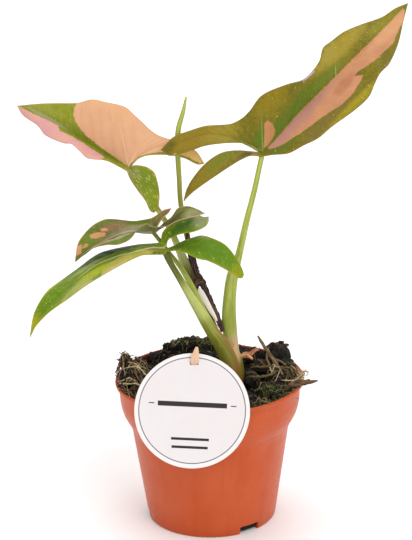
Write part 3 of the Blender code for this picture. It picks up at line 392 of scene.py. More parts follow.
# Where root fibres lie: centre x and y, half widths, count, shortest and longest, height of the arch
FIBRE_BEDS = [
    (-49, 1, 9, 16, 66, 12, 30, 3.0),
    (-42, -20, 13, 14, 44, 12, 30, 2.4),
    (48, -12, 9, 14, 30, 8, 20, 2.2),
    (56, -14, 3, 7, 30, 5, 12, 2.4),
    (28, -38, 18, 8, 40, 6, 18, 1.8),
    (2, 46, 24, 8, 30, 5, 12, 1.6),
    (0, 0, 52, 52, 80, 6, 20, 1.4),
]
# Tufts of dry fibre that stand up: centre x and y, half widths, count, tallest
TUFTS = [
    (-54, 6, 3, 6, 56, 6), (-46, 0, 7, 10, 20, 4), (-57, -4, 3, 8, 34, 5), (0, 50, 14, 4, 16, 3),
    (56, -14, 3, 7, 22, 5), (30, 28, 6, 4, 16, 4),
]
STICK_STEPS = 24
# Sticks laid one by one on the peat: points along each, and half its thickness
STICKS = [
    ([(24, -16, 99), (30, -18, 99.5), (38, -16, 100), (43, -12, 101.5)], 1.0),
    ([(26, 0, 99), (34, -3, 100), (42, -6, 100.5), (50, -12, 97)], 1.1),
    ([(27, -30, 95), (34, -27, 96), (42, -26, 96), (50, -22, 95)], 0.7),
    ([(-57, -14, 95), (-46, -22, 98), (-36, -26, 97), (-28, -30, 95)], 0.5),
    ([(-57, -3, 100), (-46, -6, 103), (-38, -14, 99), (-30, -20, 96)], 0.45),
    ([(-54, 4, 103), (-46, -4, 104), (-40, -12, 99)], 0.4),
    ([(40, -2, 101), (41, -8, 103), (40, -12, 101.5), (38, -15, 99)], 0.4),
    ([(41, -8, 103), (44, -11, 102), (46, -15, 99)], 0.35),
    ([(44, -18, 97), (52, -20, 97.5), (58, -14, 96), (60, -8, 95)], 0.5),
    ([(56, -16, 96), (60, -19, 96.6), (63, -17, 97)], 0.7),
    ([(54, -12, 96.5), (58, -13, 99.5), (60.5, -14, 101), (62, -14.5, 100), (60.5, -15, 98)], 0.5),
    ([(53, -16, 96), (57, -16, 99), (59.5, -15, 102), (61.5, -14, 102.4)], 0.4),
    ([(55, -9, 97), (58, -11, 100.4), (59.6, -13, 98.4), (58, -15, 97)], 0.5),
]

# How brightly the stage lights a surface, and what a gloss adds to it
LIGHT_GAIN = 1.16
GLOSS_VEIL = 0.012

# Camera
SENSOR = 36.0
FOCUS_PIXELS = 1923.0   # focal length in pixels of a frame 540 pixels high
FRAME_PIXELS = 540.0
CAMERA_ROLL = -1.13

# Lights: the direction each shines from, and how many degrees across it looks
LIGHTS = {"key": ((0.6, -0.9, 1.0), 40), "fill": ((-0.9, -0.8, 0.5), 60), "top": ((-0.1, 0.3, 1.0), 50)}


def paint(red, green, blue):
    """The surface colour that shows as these levels, 0 to 255, under this stage's lights."""
    levels = []
    for level in (red, green, blue):
        level /= 255.0
        linear = level / 12.92 if level <= 0.04045 else ((level + 0.055) / 1.055) ** 2.4
        levels.append(max(0.002, linear / LIGHT_GAIN - GLOSS_VEIL))
    return (*levels, 1.0)


# Looks of the green stems: the heights between which the foot's own colour sets in, the side that takes
# painted shade (the other side takes a painted highlight), bands across (middle and reach as shares of the
# length, colour, strength; a dark band at the top is painted shade under the blade), how pink the foot is,
# and a browned seam (its place round the stem, where it begins and ends). Colours of three numbers
# are levels for paint.
OLIVE = (118, 112, 38)
RUST = (160, 116, 62)
# Painted shade under the blade, laid as a band at the top of a stalk
SHADE_UNDER_BLADE = (84, 86, 30)
CREAM = (206, 210, 136)
BROWN = (92, 70, 44)
STEM_LOOKS = {
    "crown": {
        "name": "crown_skin", "low": 104, "high": 112, "side": 0.9,
        "bands": [(0.3, 0.2, OLIVE, 0.8), (0.5, 0.24, RUST, 0.8), (0.0, 0.24, (208, 176, 126), 0.9)]},
    "petiole_upper_right": {
        "name": "tall_stalk_skin", "low": 110, "high": 128, "side": 0.5, "blush": 1.0,
        "bands": [(0.0, 0.03, BROWN, 0.7)]},
    "petiole_upper_left": {
        "name": "upper_left_stalk_skin", "low": 108, "high": 126, "side": 0.7,
        "bands": [(0.0, 0.05, SHADE_UNDER_BLADE, 0.7), (0.46, 0.09, CREAM, 0.9), (0.66, 0.21, BROWN, 0.95)]},
    "petiole_middle_left": {
        "name": "middle_stalk_skin", "low": 108, "high": 126, "side": -0.5,
        "bands": [(0.0, 0.18, SHADE_UNDER_BLADE, 0.7)]},
    "petiole_lower_left": {
        "name": "lower_stalk_skin", "low": 98, "high": 106, "side": -1.2, "seam": (0.9, 0.64, 0.86),
        "bands": [(0.0, 0.4, SHADE_UNDER_BLADE, 0.85), (0.42, 0.18, CREAM, 0.6), (0.64, 0.12, (140, 138, 54), 0.6),
                  (0.86, 0.24, OLIVE, 0.8), (1.0, 0.16, RUST, 0.75)]},
    "spear_leaf": {
        "name": "spear_skin", "low": 100, "high": 110, "side": -0.7, "seam": (0.55, 0.04, 0.34),
        "bands": [(0.7, 0.42, (146, 142, 56), 0.75), (0.95, 0.045, (126, 104, 58), 0.8)]},
}

# Looks of the four blades. A wash is an oval of colour with a soft, mottled edge:
# centre along and to the left, half length, half width, colour, strength. Some washes are painted
# sheen, a painted reflection or painted light, each marked above its line.
# A line is a vein drawn in: start, end, half width, colour, strength.
LEAF_LOOKS = {
    "upper_right": {
        "body": (134, 122, 34), "shade": (118, 108, 28), "margin": (126, 112, 40),
        "washes": [
            (80, 10, 27, 7, (174, 154, 60), 0.85), (28, 17, 15, 7, (146, 126, 34), 0.85),
            (45, 11, 8, 3, (108, 104, 40), 0.7), (34, 3, 34, 4, (94, 116, 28), 0.9),
            (8, 4, 11, 7, (82, 118, 26), 0.7), (62, 2.5, 18, 2.6, (112, 130, 44), 0.6),
            (14, -7, 16, 6, (92, 116, 36), 0.7), (40, -17, 28, 4.5, (126, 110, 52), 0.8),
            (70, -23, 52, 3.6, (168, 152, 34), 0.9), (112, 2, 20, 4, (150, 142, 44), 0.8),
            (-22, 36, 28, 14, (148, 124, 38), 0.9), (-39, 43, 8, 4, (100, 92, 28), 0.8),
            (-12, 24, 17, 9, (160, 140, 46), 0.65), (-31, 13, 24, 5, (142, 124, 40), 0.9),
            (-18, 13, 17, 3, (114, 128, 40), 0.75), (-9.5, 5, 7, 2.6, (96, 84, 56), 0.85),
            (-3, 2.4, 4, 1.6, (166, 136, 104), 0.7)],
        "patches": [((210, 151, 108), (198, 140, 106)), ((200, 142, 96), (186, 128, 84)),
                    ((186, 160, 160), (200, 184, 196))],
        "late": [(30, -3.5, 36, 4, (186, 136, 124), 0.75), (110, -4, 22, 5, (228, 174, 126), 0.6),
                 (64, -9, 9, 4, (180, 116, 84), 0.6)],
        "lines": [((0.5, 0), (20.6, 19), 0.34, (140, 168, 80), 0.7),
                  ((0, 1), (-5.6, 20.3), 0.34, (140, 166, 70), 0.7),
                  ((24, 0.6), (50.2, 8.9), 0.3, (70, 110, 30), 0.6),
                  ((65, -0.8), (70.5, 4.6), 0.26, (180, 190, 110), 0.7)],
        "fleck": (214, 196, 96), "fleck_share": 0.13, "lobe_fleck_share": 0.03,
        "edge": (150, 132, 62), "vein": (120, 140, 60), "midrib": 0.2, "rib_width": 0.6,
        "roughness": 0.5, "specular": 0.22},
    "upper_left": {
        "body": (150, 156, 48), "shade": (138, 146, 34), "margin": (150, 150, 50),
        "washes": [
            (40, -3, 44, 3.4, (122, 134, 30), 0.75), (72, -7, 16, 4, (158, 160, 66), 0.6),
            # Painted sheen: the pale thin oval at (64, -2.4) along the midrib near the tip
            (64, -2.4, 18, 1.3, (190, 180, 150), 0.5), (14, 2, 14, 2.5, (122, 132, 40), 0.8),
            (-16, 5, 18, 14, (122, 146, 16), 0.95), (-5, 1.5, 6, 3.5, (150, 148, 92), 0.7),
            (-22, 10, 9, 6, (146, 166, 44), 0.8)],
        "patches": [((232, 180, 138), (228, 173, 133)), ((228, 170, 150), (220, 162, 164)),
                    ((206, 168, 84), (170, 160, 70))],
        "late": [(66, 4, 20, 3, (216, 150, 160), 0.2), (28, -24, 20, 3, (238, 184, 128), 0.3),
                 # Painted light: this peach oval is brightened past the blade's own peach where the lobe
                 # turns from the lights
                 (-30, -26, 14, 5, (250, 204, 122), 0.85)],
        "lines": [((0, -0.4), (21, -22.5), 0.3, (246, 206, 166), 0.75),
                  ((0, -1), (-0.7, -11.5), 0.3, (248, 210, 172), 0.8),
                  ((12, -12.6), (9, -22), 0.2, (244, 200, 160), 0.4)],
        "fleck": (218, 202, 106), "fleck_share": 0.18, "lobe_fleck_share": 0.75,
        "edge": (196, 156, 104), "vein": (238, 190, 150), "midrib": 0.0, "rib_width": 0.6,
        "roughness": 0.5, "specular": 0.25},
    "middle_left": {
        "body": (112, 116, 40), "shade": (98, 98, 42), "margin": (104, 112, 34),
        "washes": [
            # Painted sheen: the pale ovals at (12, -4) near the foot and (29, -3) along the midrib
            (12, -4, 14, 5, (172, 164, 128), 0.75), (22, -9, 12, 5, (142, 112, 84), 0.8),
            (29, -3, 24, 2.2, (150, 140, 108), 0.6), (47, -5, 13, 9, (112, 134, 26), 0.85),
            (32, -15, 24, 3, (98, 122, 26), 0.85), (5, -9, 13, 3, (92, 118, 28), 0.9),
            # Painted sheen: the thin pale streaks at (40, 1.8), (27, 1.8) and (15, -1.8) beside the midrib
            (31, 5.5, 14, 3.4, (100, 128, 28), 0.9), (40, 1.8, 11, 1.7, (186, 158, 128), 0.85),
            (27, 1.8, 10, 1.8, (178, 166, 138), 0.85), (15, -1.8, 10, 1.8, (184, 176, 152), 0.85),
            (-5, 8, 9, 5, (62, 70, 26), 0.9), (-11, 6, 7, 1.6, (122, 112, 60), 0.7),
            # Painted sheen: the grey-green oval at (-20, 13) on the left lobe's tip
            (-14, 10, 6, 1.4, (84, 98, 34), 0.7), (-20, 13, 9, 5, (156, 156, 110), 0.9),
            (-11, -7, 9, 4, (146, 122, 72), 0.8), (-15, -6, 3.4, 2.4, (150, 104, 84), 0.7)],
        "patches": [((214, 154, 108), (204, 148, 96)), ((186, 132, 92), (160, 122, 84)),
                    ((196, 150, 120), (196, 150, 120))],
        "late": [],
        "lines": [((1, 0), (14, -3), 0.3, (206, 196, 160), 0.7)],
        "fleck": (176, 178, 84), "fleck_share": 0.08, "lobe_fleck_share": 0.08,
        "edge": (206, 162, 140), "vein": (188, 176, 138), "midrib": 0.5, "rib_width": 0.7,
        "roughness": 0.44, "specular": 0.2},
    "lower_left": {
        "body": (120, 146, 16), "shade": (104, 128, 14), "margin": (140, 150, 30),
        "washes": [
            (26, -9.5, 30, 7, (52, 76, 22), 0.95), (60, -11, 22, 3.4, (78, 104, 26), 0.8),
            # Painted sheen: the grey-green ovals at (38, -4.4) and (54, -5.4) on the far half
            (38, -4.4, 14, 1.2, (132, 146, 84), 0.6), (54, -5.4, 15, 2.2, (158, 164, 112), 0.85),
            (70, -7, 16, 2.4, (120, 138, 52), 0.6), (54, 4.2, 15, 4.4, (166, 172, 18), 0.9),
            # Painted sheen: the pale grey-green strip at (70, 7.4) along the near margin
            (60, 1.2, 22, 0.9, (84, 104, 26), 0.7), (70, 7.4, 15, 3, (168, 174, 104), 0.85),
            (84, -3, 14, 7, (104, 140, 4), 0.85), (84, -10, 20, 2.4, (176, 178, 36), 0.8),
            (102, -1, 10, 6, (188, 180, 30), 0.9), (7, 6.5, 12, 2.6, (68, 86, 22), 0.9),
            (-19, 20, 18, 22, (98, 138, 8), 0.95), (-14, 12, 9, 4, (100, 130, 20), 0.8),
            (-26, 39, 5, 5, (150, 156, 30), 0.8), (-8, 5, 8, 5, (82, 104, 28), 0.8),
            (-12, 1.5, 10, 5.5, (74, 118, 12), 0.95), (-20, 2, 7, 2.4, (76, 112, 24), 0.8),
            # Painted reflection: the grey-green oval at (-26, 8) on the right lobe's tip
            (-26, 8, 8, 7, (160, 167, 124), 0.9)],
        "patches": [((184, 172, 88), (166, 160, 62)), ((186, 178, 112), (172, 160, 84)),
                    ((198, 152, 48), (160, 156, 40))],
        "late": [(4, 2, 13, 3, (138, 128, 66), 0.9), (38, 10, 18, 2.6, (206, 176, 128), 0.6),
                 (22, 2.6, 7, 1.4, (170, 168, 84), 0.6),
                 (42, 6, 6, 1.6, (160, 164, 60), 0.6)],
        "lines": [((-1, 0), (10, 1), 0.6, (206, 190, 140), 0.8)],
        "fleck": (202, 212, 92), "fleck_share": 0.3, "lobe_fleck_share": 0.2,
        "edge": (164, 164, 66), "vein": (208, 210, 160), "midrib": 0.9, "rib_width": 0.9,
        "roughness": 0.44, "specular": 0.16},
}


# Curves and meshes

def lengths_along(points):
    """The distance travelled along a line of points at each of them."""
    steps = np.linalg.norm(np.diff(points, axis=0), axis=1)
    return np.concatenate([[0.0], np.cumsum(steps)])


def smooth_curve(points, count):
    """Points spaced evenly along one smooth curve through the given points."""
    knots = [Vector(p) for p in points]
    gaps = [(b - a).length for a, b in zip(knots, knots[1:])]
    slopes = []
    for i in range(len(knots)):
        before = max(i - 1, 0)
        after = min(i + 1, len(gaps))
        slopes.append((knots[after] - knots[before]) / sum(gaps[before:after]))
    fine = [knots[0]]
    for i, gap in enumerate(gaps):
        for step in range(1, CURVE_STEPS + 1):
            t = step / CURVE_STEPS
            fine.append(knots[i] * (2 * t ** 3 - 3 * t ** 2 + 1)
                        + slopes[i] * gap * (t ** 3 - 2 * t ** 2 + t)
                        + knots[i + 1] * (3 * t ** 2 - 2 * t ** 3)
                        + slopes[i + 1] * gap * (t ** 3 - t ** 2))
    fine = np.array(fine)
    travelled = lengths_along(fine)
    wanted = np.linspace(0, travelled[-1], count + 1)
    return np.stack([np.interp(wanted, travelled, fine[:, k]) for k in range(3)], 1)


def link_object(name, data):
    """A new object of the scene round its mesh, light or camera."""
    obj = bpy.data.objects.new(name, data)
    bpy.context.scene.collection.objects.link(obj)
    return obj


def shade(mesh, angle):
    """Shade a mesh smooth, apart from edges sharper than some degrees."""
    mesh.shade_smooth()
    if angle < 180:
        mesh.set_sharp_from_angle(angle=math.radians(angle))


def make_object(name, points, faces, finishes, angle=40.0, attributes=None):
    """An object from points in millimetres and faces, with its materials and attributes."""
    mesh = bpy.data.meshes.new(name)
    mesh.from_pydata((np.asarray(points) * MM).tolist(), [], faces)
    mesh.update()
    for finish in finishes:
        mesh.materials.append(finish)
    for key, values in (attributes or {}).items():
        values = np.asarray(values, np.float32)
        kind, field = ("FLOAT", "value") if values.ndim == 1 else ("FLOAT_VECTOR", "vector")
        mesh.attributes.new(key, kind, "POINT").data.foreach_set(field, values.ravel())
    shade(mesh, angle)
    return link_object(name, mesh)


def make_solid(*parts):
    """A closed object, made as by make_object, whose faces all look outwards."""
    obj = make_object(*parts)
    bm = bmesh.new()
    bm.from_mesh(obj.data)
    bmesh.ops.recalc_face_normals(bm, faces=bm.faces)
    if bm.calc_volume(signed=True) < 0:
        bmesh.ops.reverse_faces(bm, faces=bm.faces)
    bm.to_mesh(obj.data)
    bm.free()
    return obj


def settle(obj, slot, *nodes):
    """Fix a piece to the plant and let it stand for the solids, which it hides."""
    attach(obj, "root")
    if nodes:
        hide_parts(*nodes)
    return obj


def apply_modifiers(obj):
    graph = bpy.context.evaluated_depsgraph_get()
    mesh = bpy.data.meshes.new_from_object(obj.evaluated_get(graph))
    obj.modifiers.clear()
    obj.data = mesh


def cut(target, other, operation="DIFFERENCE"):
    """Apply one Boolean and remove the cutter."""
    modifier = target.modifiers.new("cut", "BOOLEAN")
    modifier.operation = operation
    modifier.solver = "EXACT"
    modifier.object = other
    apply_modifiers(target)
    bpy.data.objects.remove(other, do_unlink=True)


def slice_off(bm, point, direction):
    """Cut away what lies past a plane, in metres, and close the cut."""
    everything = bm.verts[:] + bm.edges[:] + bm.faces[:]
    sliced = bmesh.ops.bisect_plane(bm, geom=everything, plane_co=point, plane_no=direction,
                                    clear_outer=True)
    edges = [e for e in sliced["geom_cut"] if isinstance(e, bmesh.types.BMEdge)]
    bmesh.ops.holes_fill(bm, edges=edges)


def shifted(faces, count):
    """The same faces for points that stand that much later in a list."""
    return [tuple(i + count for i in face) for face in faces]


def ball(subdivisions):
    """Points of a ball of radius 1, and its faces."""
    bm = bmesh.new()
    bmesh.ops.create_icosphere(bm, subdivisions=subdivisions, radius=1.0)
    points = [v.co.copy() for v in bm.verts]
    faces = [tuple(v.index for v in f.verts) for f in bm.faces]
    bm.free()
    return points, faces


def lathe(profile, segments):
    """Points and faces turned about Z from a profile whose two ends lie on the axis."""
    points, rings, faces = [], [], []
    for radius, height in profile:
        if radius < TINY:
            rings.append([len(points)] * segments)
            points.append((0, 0, height))
            continue
        rings.append([len(points) + k for k in range(segments)])
        for k in range(segments):
            turn = 2 * math.pi * k / segments
            points.append((radius * math.cos(turn), radius * math.sin(turn), height))
    for low, high in zip(rings, rings[1:]):
        for k in range(segments):
            n = (k + 1) % segments
            faces.append(tuple(dict.fromkeys((low[k], low[n], high[n], high[k]))))
    return points, faces


def rounded(profile):
    """The same profile with each corner replaced by a small curve."""
    result = [profile[0]]
    for before, corner, after in zip(profile, profile[1:], profile[2:]):
        here = Vector(corner)
        back = Vector(before) - here
        ahead = Vector(after) - here
        reach = min(ROUNDING, back.length * 0.45, ahead.length * 0.45)
        start = here + back.normalized() * reach
        end = here + ahead.normalized() * reach
        for k in range(ROUNDING_STEPS + 1):
            t = k / ROUNDING_STEPS
            result.append(tuple(start * (1 - t) ** 2 + here * 2 * t * (1 - t) + end * t ** 2))
    return result + [profile[-1]]


def block(low, high, turn=0.0):
    """A box between two corners, turned about Z by some degrees."""
    spin = Matrix.Rotation(math.radians(turn), 3, "Z")
    corners = [Vector(c) for c in itertools.product(*zip(low, high))]
    faces = [(0, 1, 3, 2), (4, 6, 7, 5), (0, 4, 5, 1), (2, 3, 7, 6), (0, 2, 6, 4), (1, 5, 7, 3)]
    return [tuple(spin @ corner) for corner in corners], faces


def sleeve(line, half_width, half_depth, upright=None):
    """A closed tube round a line, from its half sizes by row and side: points and faces."""
    tangent = np.gradient(line, axis=0)
    tangent /= np.linalg.norm(tangent, axis=1)[:, None] + TINY
    if upright is None:
        upright = (0.13, 0.09, 1.0) if abs(tangent[:, 2]).mean() < 0.8 else (1.0, 0.2, 0.0)
    across = np.cross(tangent, upright)
    across /= np.linalg.norm(across, axis=1)[:, None]
    deep = np.cross(across, tangent)
    rows, sides = half_width.shape
    turn = 2 * np.pi * np.arange(sides) / sides
    points = (line[:, None] + across[:, None] * (np.cos(turn) * half_width)[..., None]
              + deep[:, None] * (np.sin(turn) * half_depth)[..., None]).reshape(-1, 3)
    faces = []
    for start in range(0, (rows - 1) * sides, sides):
        for side in range(sides):
            a = start + side
            b = start + (side + 1) % sides
            faces.append((a, a + sides, b + sides, b))
    faces.append(tuple(range(sides)))
    faces.append(tuple(reversed(range(len(points) - sides, len(points)))))
    return points, faces


class Bundle:
    """Many small closed bodies gathered into one mesh, each with a tint of its own."""

    def __init__(self):
        self.points, self.faces, self.tints = [], [], []

    def add(self, points, faces, tint):
        self.faces += shifted(faces, len(self.points))
        self.points += list(points)
        self.tints += [tint] * len(points)

    def tube(self, line, radii, sides, tint):
        """A closed tapering tube along a line of points."""
        sizes = np.repeat(np.array(radii)[:, None], sides, 1)
        self.add(*sleeve(np.array(line), sizes, sizes), tint)

    def object(self, name, finish, angle=180.0):
        return make_object(name, self.points, self.faces, [finish], angle, {"tint": self.tints})


# Finishes

def shown(colour):
    """A colour for a socket: three screen levels go through paint, anything else stays."""
    return paint(*colour) if isinstance(colour, tuple) and len(colour) == 3 else colour


class Finish:
    """A procedural material under way: lay and coat paint its colour, the rest give outputs."""

    def __init__(self, name, roughness, specular=0.4, subsurface=0.0, depth=1.0):
        self.material = bpy.data.materials.new(name)
        self.material.use_nodes = True
        self.tree = self.material.node_tree
        self.shader = self.tree.nodes["Principled BSDF"]
        self.shader.inputs["Roughness"].default_value = roughness
        self.shader.inputs["Specular IOR Level"].default_value = specular
        self.shader.inputs["Subsurface Weight"].default_value = subsurface
        self.shader.inputs["Subsurface Scale"].default_value = depth * MM
        self.colour = None

    def feed(self, socket, value):
        if isinstance(value, bpy.types.NodeSocket):
            self.tree.links.new(value, socket)
        else:
            socket.default_value = value

    def node(self, kind, inputs, **settings):
        made = self.tree.nodes.new(kind)
        for key, value in settings.items():
            setattr(made, key, value)
        for key, value in inputs.items():
            self.feed(made.inputs[key], value)
        return made

    def attribute(self, key, output="Vector"):
        return self.node("ShaderNodeAttribute", {}, attribute_name=key).outputs[output]

    def place(self):
        """The object's own coordinates in millimetres."""
        return self.stretch(self.node("ShaderNodeTexCoord", {}).outputs["Object"], (1 / MM,) * 3)

    def parts(self, vector):
        return self.node("ShaderNodeSeparateXYZ", {0: vector}).outputs[:]

    def join(self, *parts):
        return self.node("ShaderNodeCombineXYZ", dict(enumerate(parts))).outputs[0]

    def vectors(self, operation, *inputs, output="Vector"):
        made = self.node("ShaderNodeVectorMath", dict(enumerate(inputs)), operation=operation)
        return made.outputs[output]

    def stretch(self, vector, scale):
        return self.vectors("MULTIPLY", vector, scale)

    def maths(self, operation, a, b=0.0):
        return self.node("ShaderNodeMath", {0: a, 1: b}, operation=operation).outputs[0]

    def plus(self, a, b):
        return self.maths("ADD", a, b)

    def less(self, a, b):
        return self.maths("SUBTRACT", a, b)

    def most(self, a, b):
        return self.maths("MAXIMUM", a, b)

    def off(self, value, middle):
        """How far a value is from a middle, on either side."""
        return self.maths("ABSOLUTE", self.less(value, middle))

    def reach(self, x, y):
        return self.maths("SQRT", self.plus(self.times(x, x), self.times(y, y)))

    def times(self, *values):
        result = values[0]
        for value in values[1:]:
            result = self.maths("MULTIPLY", result, value)
        return result

    def mostly(self, a, b):
        return self.plus(self.times(a, 0.6), self.times(b, 0.4))

    def torn(self, value, cloud, depth):
        """A value swung up and down by a noise."""
        return self.plus(value, self.times(self.less(cloud, 0.5), depth))

    def step(self, value, low, high):
        """0 at low and 1 at high, with a smooth rise between them."""
        ends = {"Value": value, "From Min": low, "From Max": high}
        return self.node("ShaderNodeMapRange", ends, interpolation_type="SMOOTHSTEP").outputs[0]

    def spread(self, cloud, low, high):
        """A noise's usual range made to run from low to high."""
        ends = {"Value": cloud, "From Min": 0.3, "From Max": 0.7, "To Min": low, "To Max": high}
        return self.node("ShaderNodeMapRange", ends).outputs[0]

    def texture(self, kind, vector, scale, **inputs):
        """A texture on a vector scaled by one number, or drawn out by three."""
        if isinstance(scale, tuple):
            vector = self.stretch(vector, scale)
            scale = 1.0
        return self.node(kind, {"Vector": vector, "Scale": scale, **inputs})

    def noise(self, vector, scale, detail=3.0, roughness=0.55):
        made = self.texture("ShaderNodeTexNoise", vector, scale, Detail=detail, Roughness=roughness)
        return made.outputs[0]

    def cells(self, vector, scale):
        """Distance to the nearest of many scattered points, and that point's random number."""
        made = self.texture("ShaderNodeTexVoronoi", vector, scale)
        return made.outputs["Distance"], self.parts(made.outputs["Color"])[0]

    def picked(self, number, share):
        """1 for that share of the scattered points."""
        return self.step(number, 1.0 - share, 1.02 - share)

    def mix(self, share, a, b):
        return self.node("ShaderNodeMix", {0: share, 6: shown(a), 7: shown(b)}, data_type="RGBA").outputs[2]

    def lay(self, dark, light, share):
        """Start the colour afresh, from one tint to another."""
        self.colour = self.mix(share, dark, light)

    def coat(self, tint, *shares):
        """Paint over the colour so far, as strongly as the shares multiplied together."""
        self.colour = self.mix(self.times(*shares), self.colour, tint)

    def wash(self, flat, ragged, oval):
        """Coat an oval, with a soft, mottled edge."""
        along, left, half_length, half_width, tint, strength = oval
        away = self.vectors("SUBTRACT", flat, (along, left, 0))
        away = self.stretch(away, (1 / half_length, 1 / half_width, 0))
        reach = self.plus(self.vectors("LENGTH", away, output="Value"), self.times(ragged, 0.22))
        self.coat(tint, self.step(reach, 1.25, 0.45), strength)

    def line(self, flat, drawn):
        """Draw a thin straight line that fades towards its end."""
        start, end, half_width, tint, strength = drawn
        step = Vector(end) - Vector(start)
        away = self.vectors("SUBTRACT", flat, (*start, 0))
        along = self.vectors("DOT_PRODUCT", away, (*(step / step.length_squared), 0), output="Value")
        share = self.node("ShaderNodeClamp", {"Value": along}).outputs[0]
        gap = self.vectors("DISTANCE", away, self.stretch(share, (*step, 0)), output="Value")
        ink = self.step(gap, half_width * 1.4, half_width * 0.5)
        self.coat(tint, ink, self.step(share, 1.0, 0.4), strength)

    def finish(self, relief=(), roughness=None):
        """Join up the colour, the roughness and each (height, strength, depth in mm) of the relief."""
        self.feed(self.shader.inputs["Base Color"], self.colour)
        if roughness is not None:
            self.feed(self.shader.inputs["Roughness"], roughness)
        parts = {}
        for height, strength, depth in relief:
            parts.update({"Height": height, "Strength": strength, "Distance": depth * MM})
            parts["Normal"] = self.node("ShaderNodeBump", parts).outputs[0]
        if parts:
            self.feed(self.shader.inputs["Normal"], parts["Normal"])
        return self.material


def plastic_finish(settings):
    """Dyed nursery-pot plastic: faint flow marks, darker towards the foot, fine scuffs, painted shade with
    some soil dirt on the inner wall, and soil dust inside the rim.
    """
    f = Finish("terracotta_plastic", 0.4, 0.22, 0.05, 2.0)
    place = f.place()
    x, y, z = f.parts(place)
    flow = f.noise(place, (0.12, 0.12, 0.012))
    f.lay(settings.plastic, settings.plastic_light, f.step(f.noise(place, 0.035), 0.3, 0.7))
    f.coat(settings.plastic_deep, f.step(flow, 0.45, 0.75), 0.25)
    # Darker towards the bottom, over the lowest 9 mm
    f.coat(settings.plastic_deep, f.step(z, 9.0, 0.5), 0.35)
    radius = f.reach(x, y)
    band = f.times(f.step(radius, BAND_R - 0.3, BAND_R - 0.6), f.step(z, 81.0, 83.0))
    lip = f.times(f.step(radius, BAND_R + 0.9, BAND_R + 0.4), f.step(z, 90.4, 90.8))
    inside = f.most(band, lip)
    # Painted shade, partly soil dirt: the inner wall and the inside of the lip darkened to a deep brown
    f.coat((88, 54, 42), inside, f.spread(f.noise(place, 0.2, 4), 0.88, 1.0))
    crumbs, pick = f.cells(place, 0.55)
    f.coat((48, 36, 30), f.step(crumbs, 0.45, 0.25), f.step(pick, 0.55, 0.6), inside, 0.85)
    marks = f.step(f.noise(place, (0.25, 0.25, 3.0), 2), 0.68, 0.74)
    f.coat((232, 150, 118), marks, 0.12)
    relief = [(f.noise(place, 1.6, 4), 0.12, 0.15), (flow, 0.25, 0.5), (marks, -0.2, 0.1)]
    return f.finish(relief, f.spread(f.noise(place, 0.3, 4), 0.34, 0.46))


def peat_finish(settings):
    """Moist dark peat with brown crumbs and olive moss in the folds."""
    f = Finish("peat_crumb", 0.9)
    place = f.place()
    grain = f.noise(place, 0.9, 6, 0.7)
    crumbs, pick = f.cells(place, 0.7)
    f.lay(settings.peat_deep, settings.peat, f.step(grain, 0.35, 0.7))
    f.coat(settings.peat_bark, f.step(crumbs, 0.4, 0.2), f.step(pick, 0.62, 0.68))
    beds = f.step(f.noise(place, 0.09, 4), 0.5, 0.62)
    f.coat(settings.moss_deep, beds, f.step(f.noise(place, 1.4), 0.35, 0.6), 0.7)
    return f.finish([(grain, 0.8, 1.2), (f.noise(place, 3.5), 0.5, 0.4)])


def litter_finish(name, dark, middle, light):
    """Strands that differ from one to the next, and are streaked along their length."""
    f = Finish(name, 0.85)
    place = f.place()
    tint = f.attribute("tint", "Fac")
    f.lay(dark, middle, f.step(tint, 0.0, 0.5))
    f.coat(light, f.step(tint, 0.5, 1.0))
    f.coat(dark, f.step(f.noise(place, 0.8, 4), 0.42, 0.7), 0.55)
    return f.finish([(f.noise(place, 2.4), 0.4, 0.3)])


def bark_finish(name, dark, light, moss):
    """Weathered bark, streaked along the piece, with a share of moss."""
    f = Finish(name, 0.85)
    run = f.attribute("run")
    streak = f.noise(run, (2.2, 2.2, 0.22), 5, 0.65)
    f.lay(dark, light, f.step(streak, 0.32, 0.68))
    f.coat((104, 98, 50), f.step(f.noise(run, (0.9, 0.9, 0.12)), 0.5, 0.62), moss)
    return f.finish([(streak, 0.8, 0.5)])


def dry_finish(name, dark, light):
    """A dried or papery scrap with fibres along it."""
    f = Finish(name, 0.85)
    streak = f.noise(f.attribute("run"), (3.0, 3.0, 0.12), 5, 0.6)
    f.lay(dark, light, f.step(streak, 0.38, 0.66))
    return f.finish([(streak, 0.7, 0.35)])


def wood_finish():
    """Pale peach wood of the pick, with its grain along it, darker from 13 to 16 mm below its top downwards.
    """
    f = Finish("pick_wood_grain", 0.6)
    run = f.attribute("run")
    grain = f.noise(run, (3.5, 3.5, 0.06), 5, 0.6)
    f.lay((242, 206, 176), (230, 184, 150), f.step(grain, 0.3, 0.72))
    f.coat((198, 140, 106), f.step(f.parts(run)[2], 13.0, 16.0), 0.4)
    return f.finish([(grain, 0.4, 0.2)])


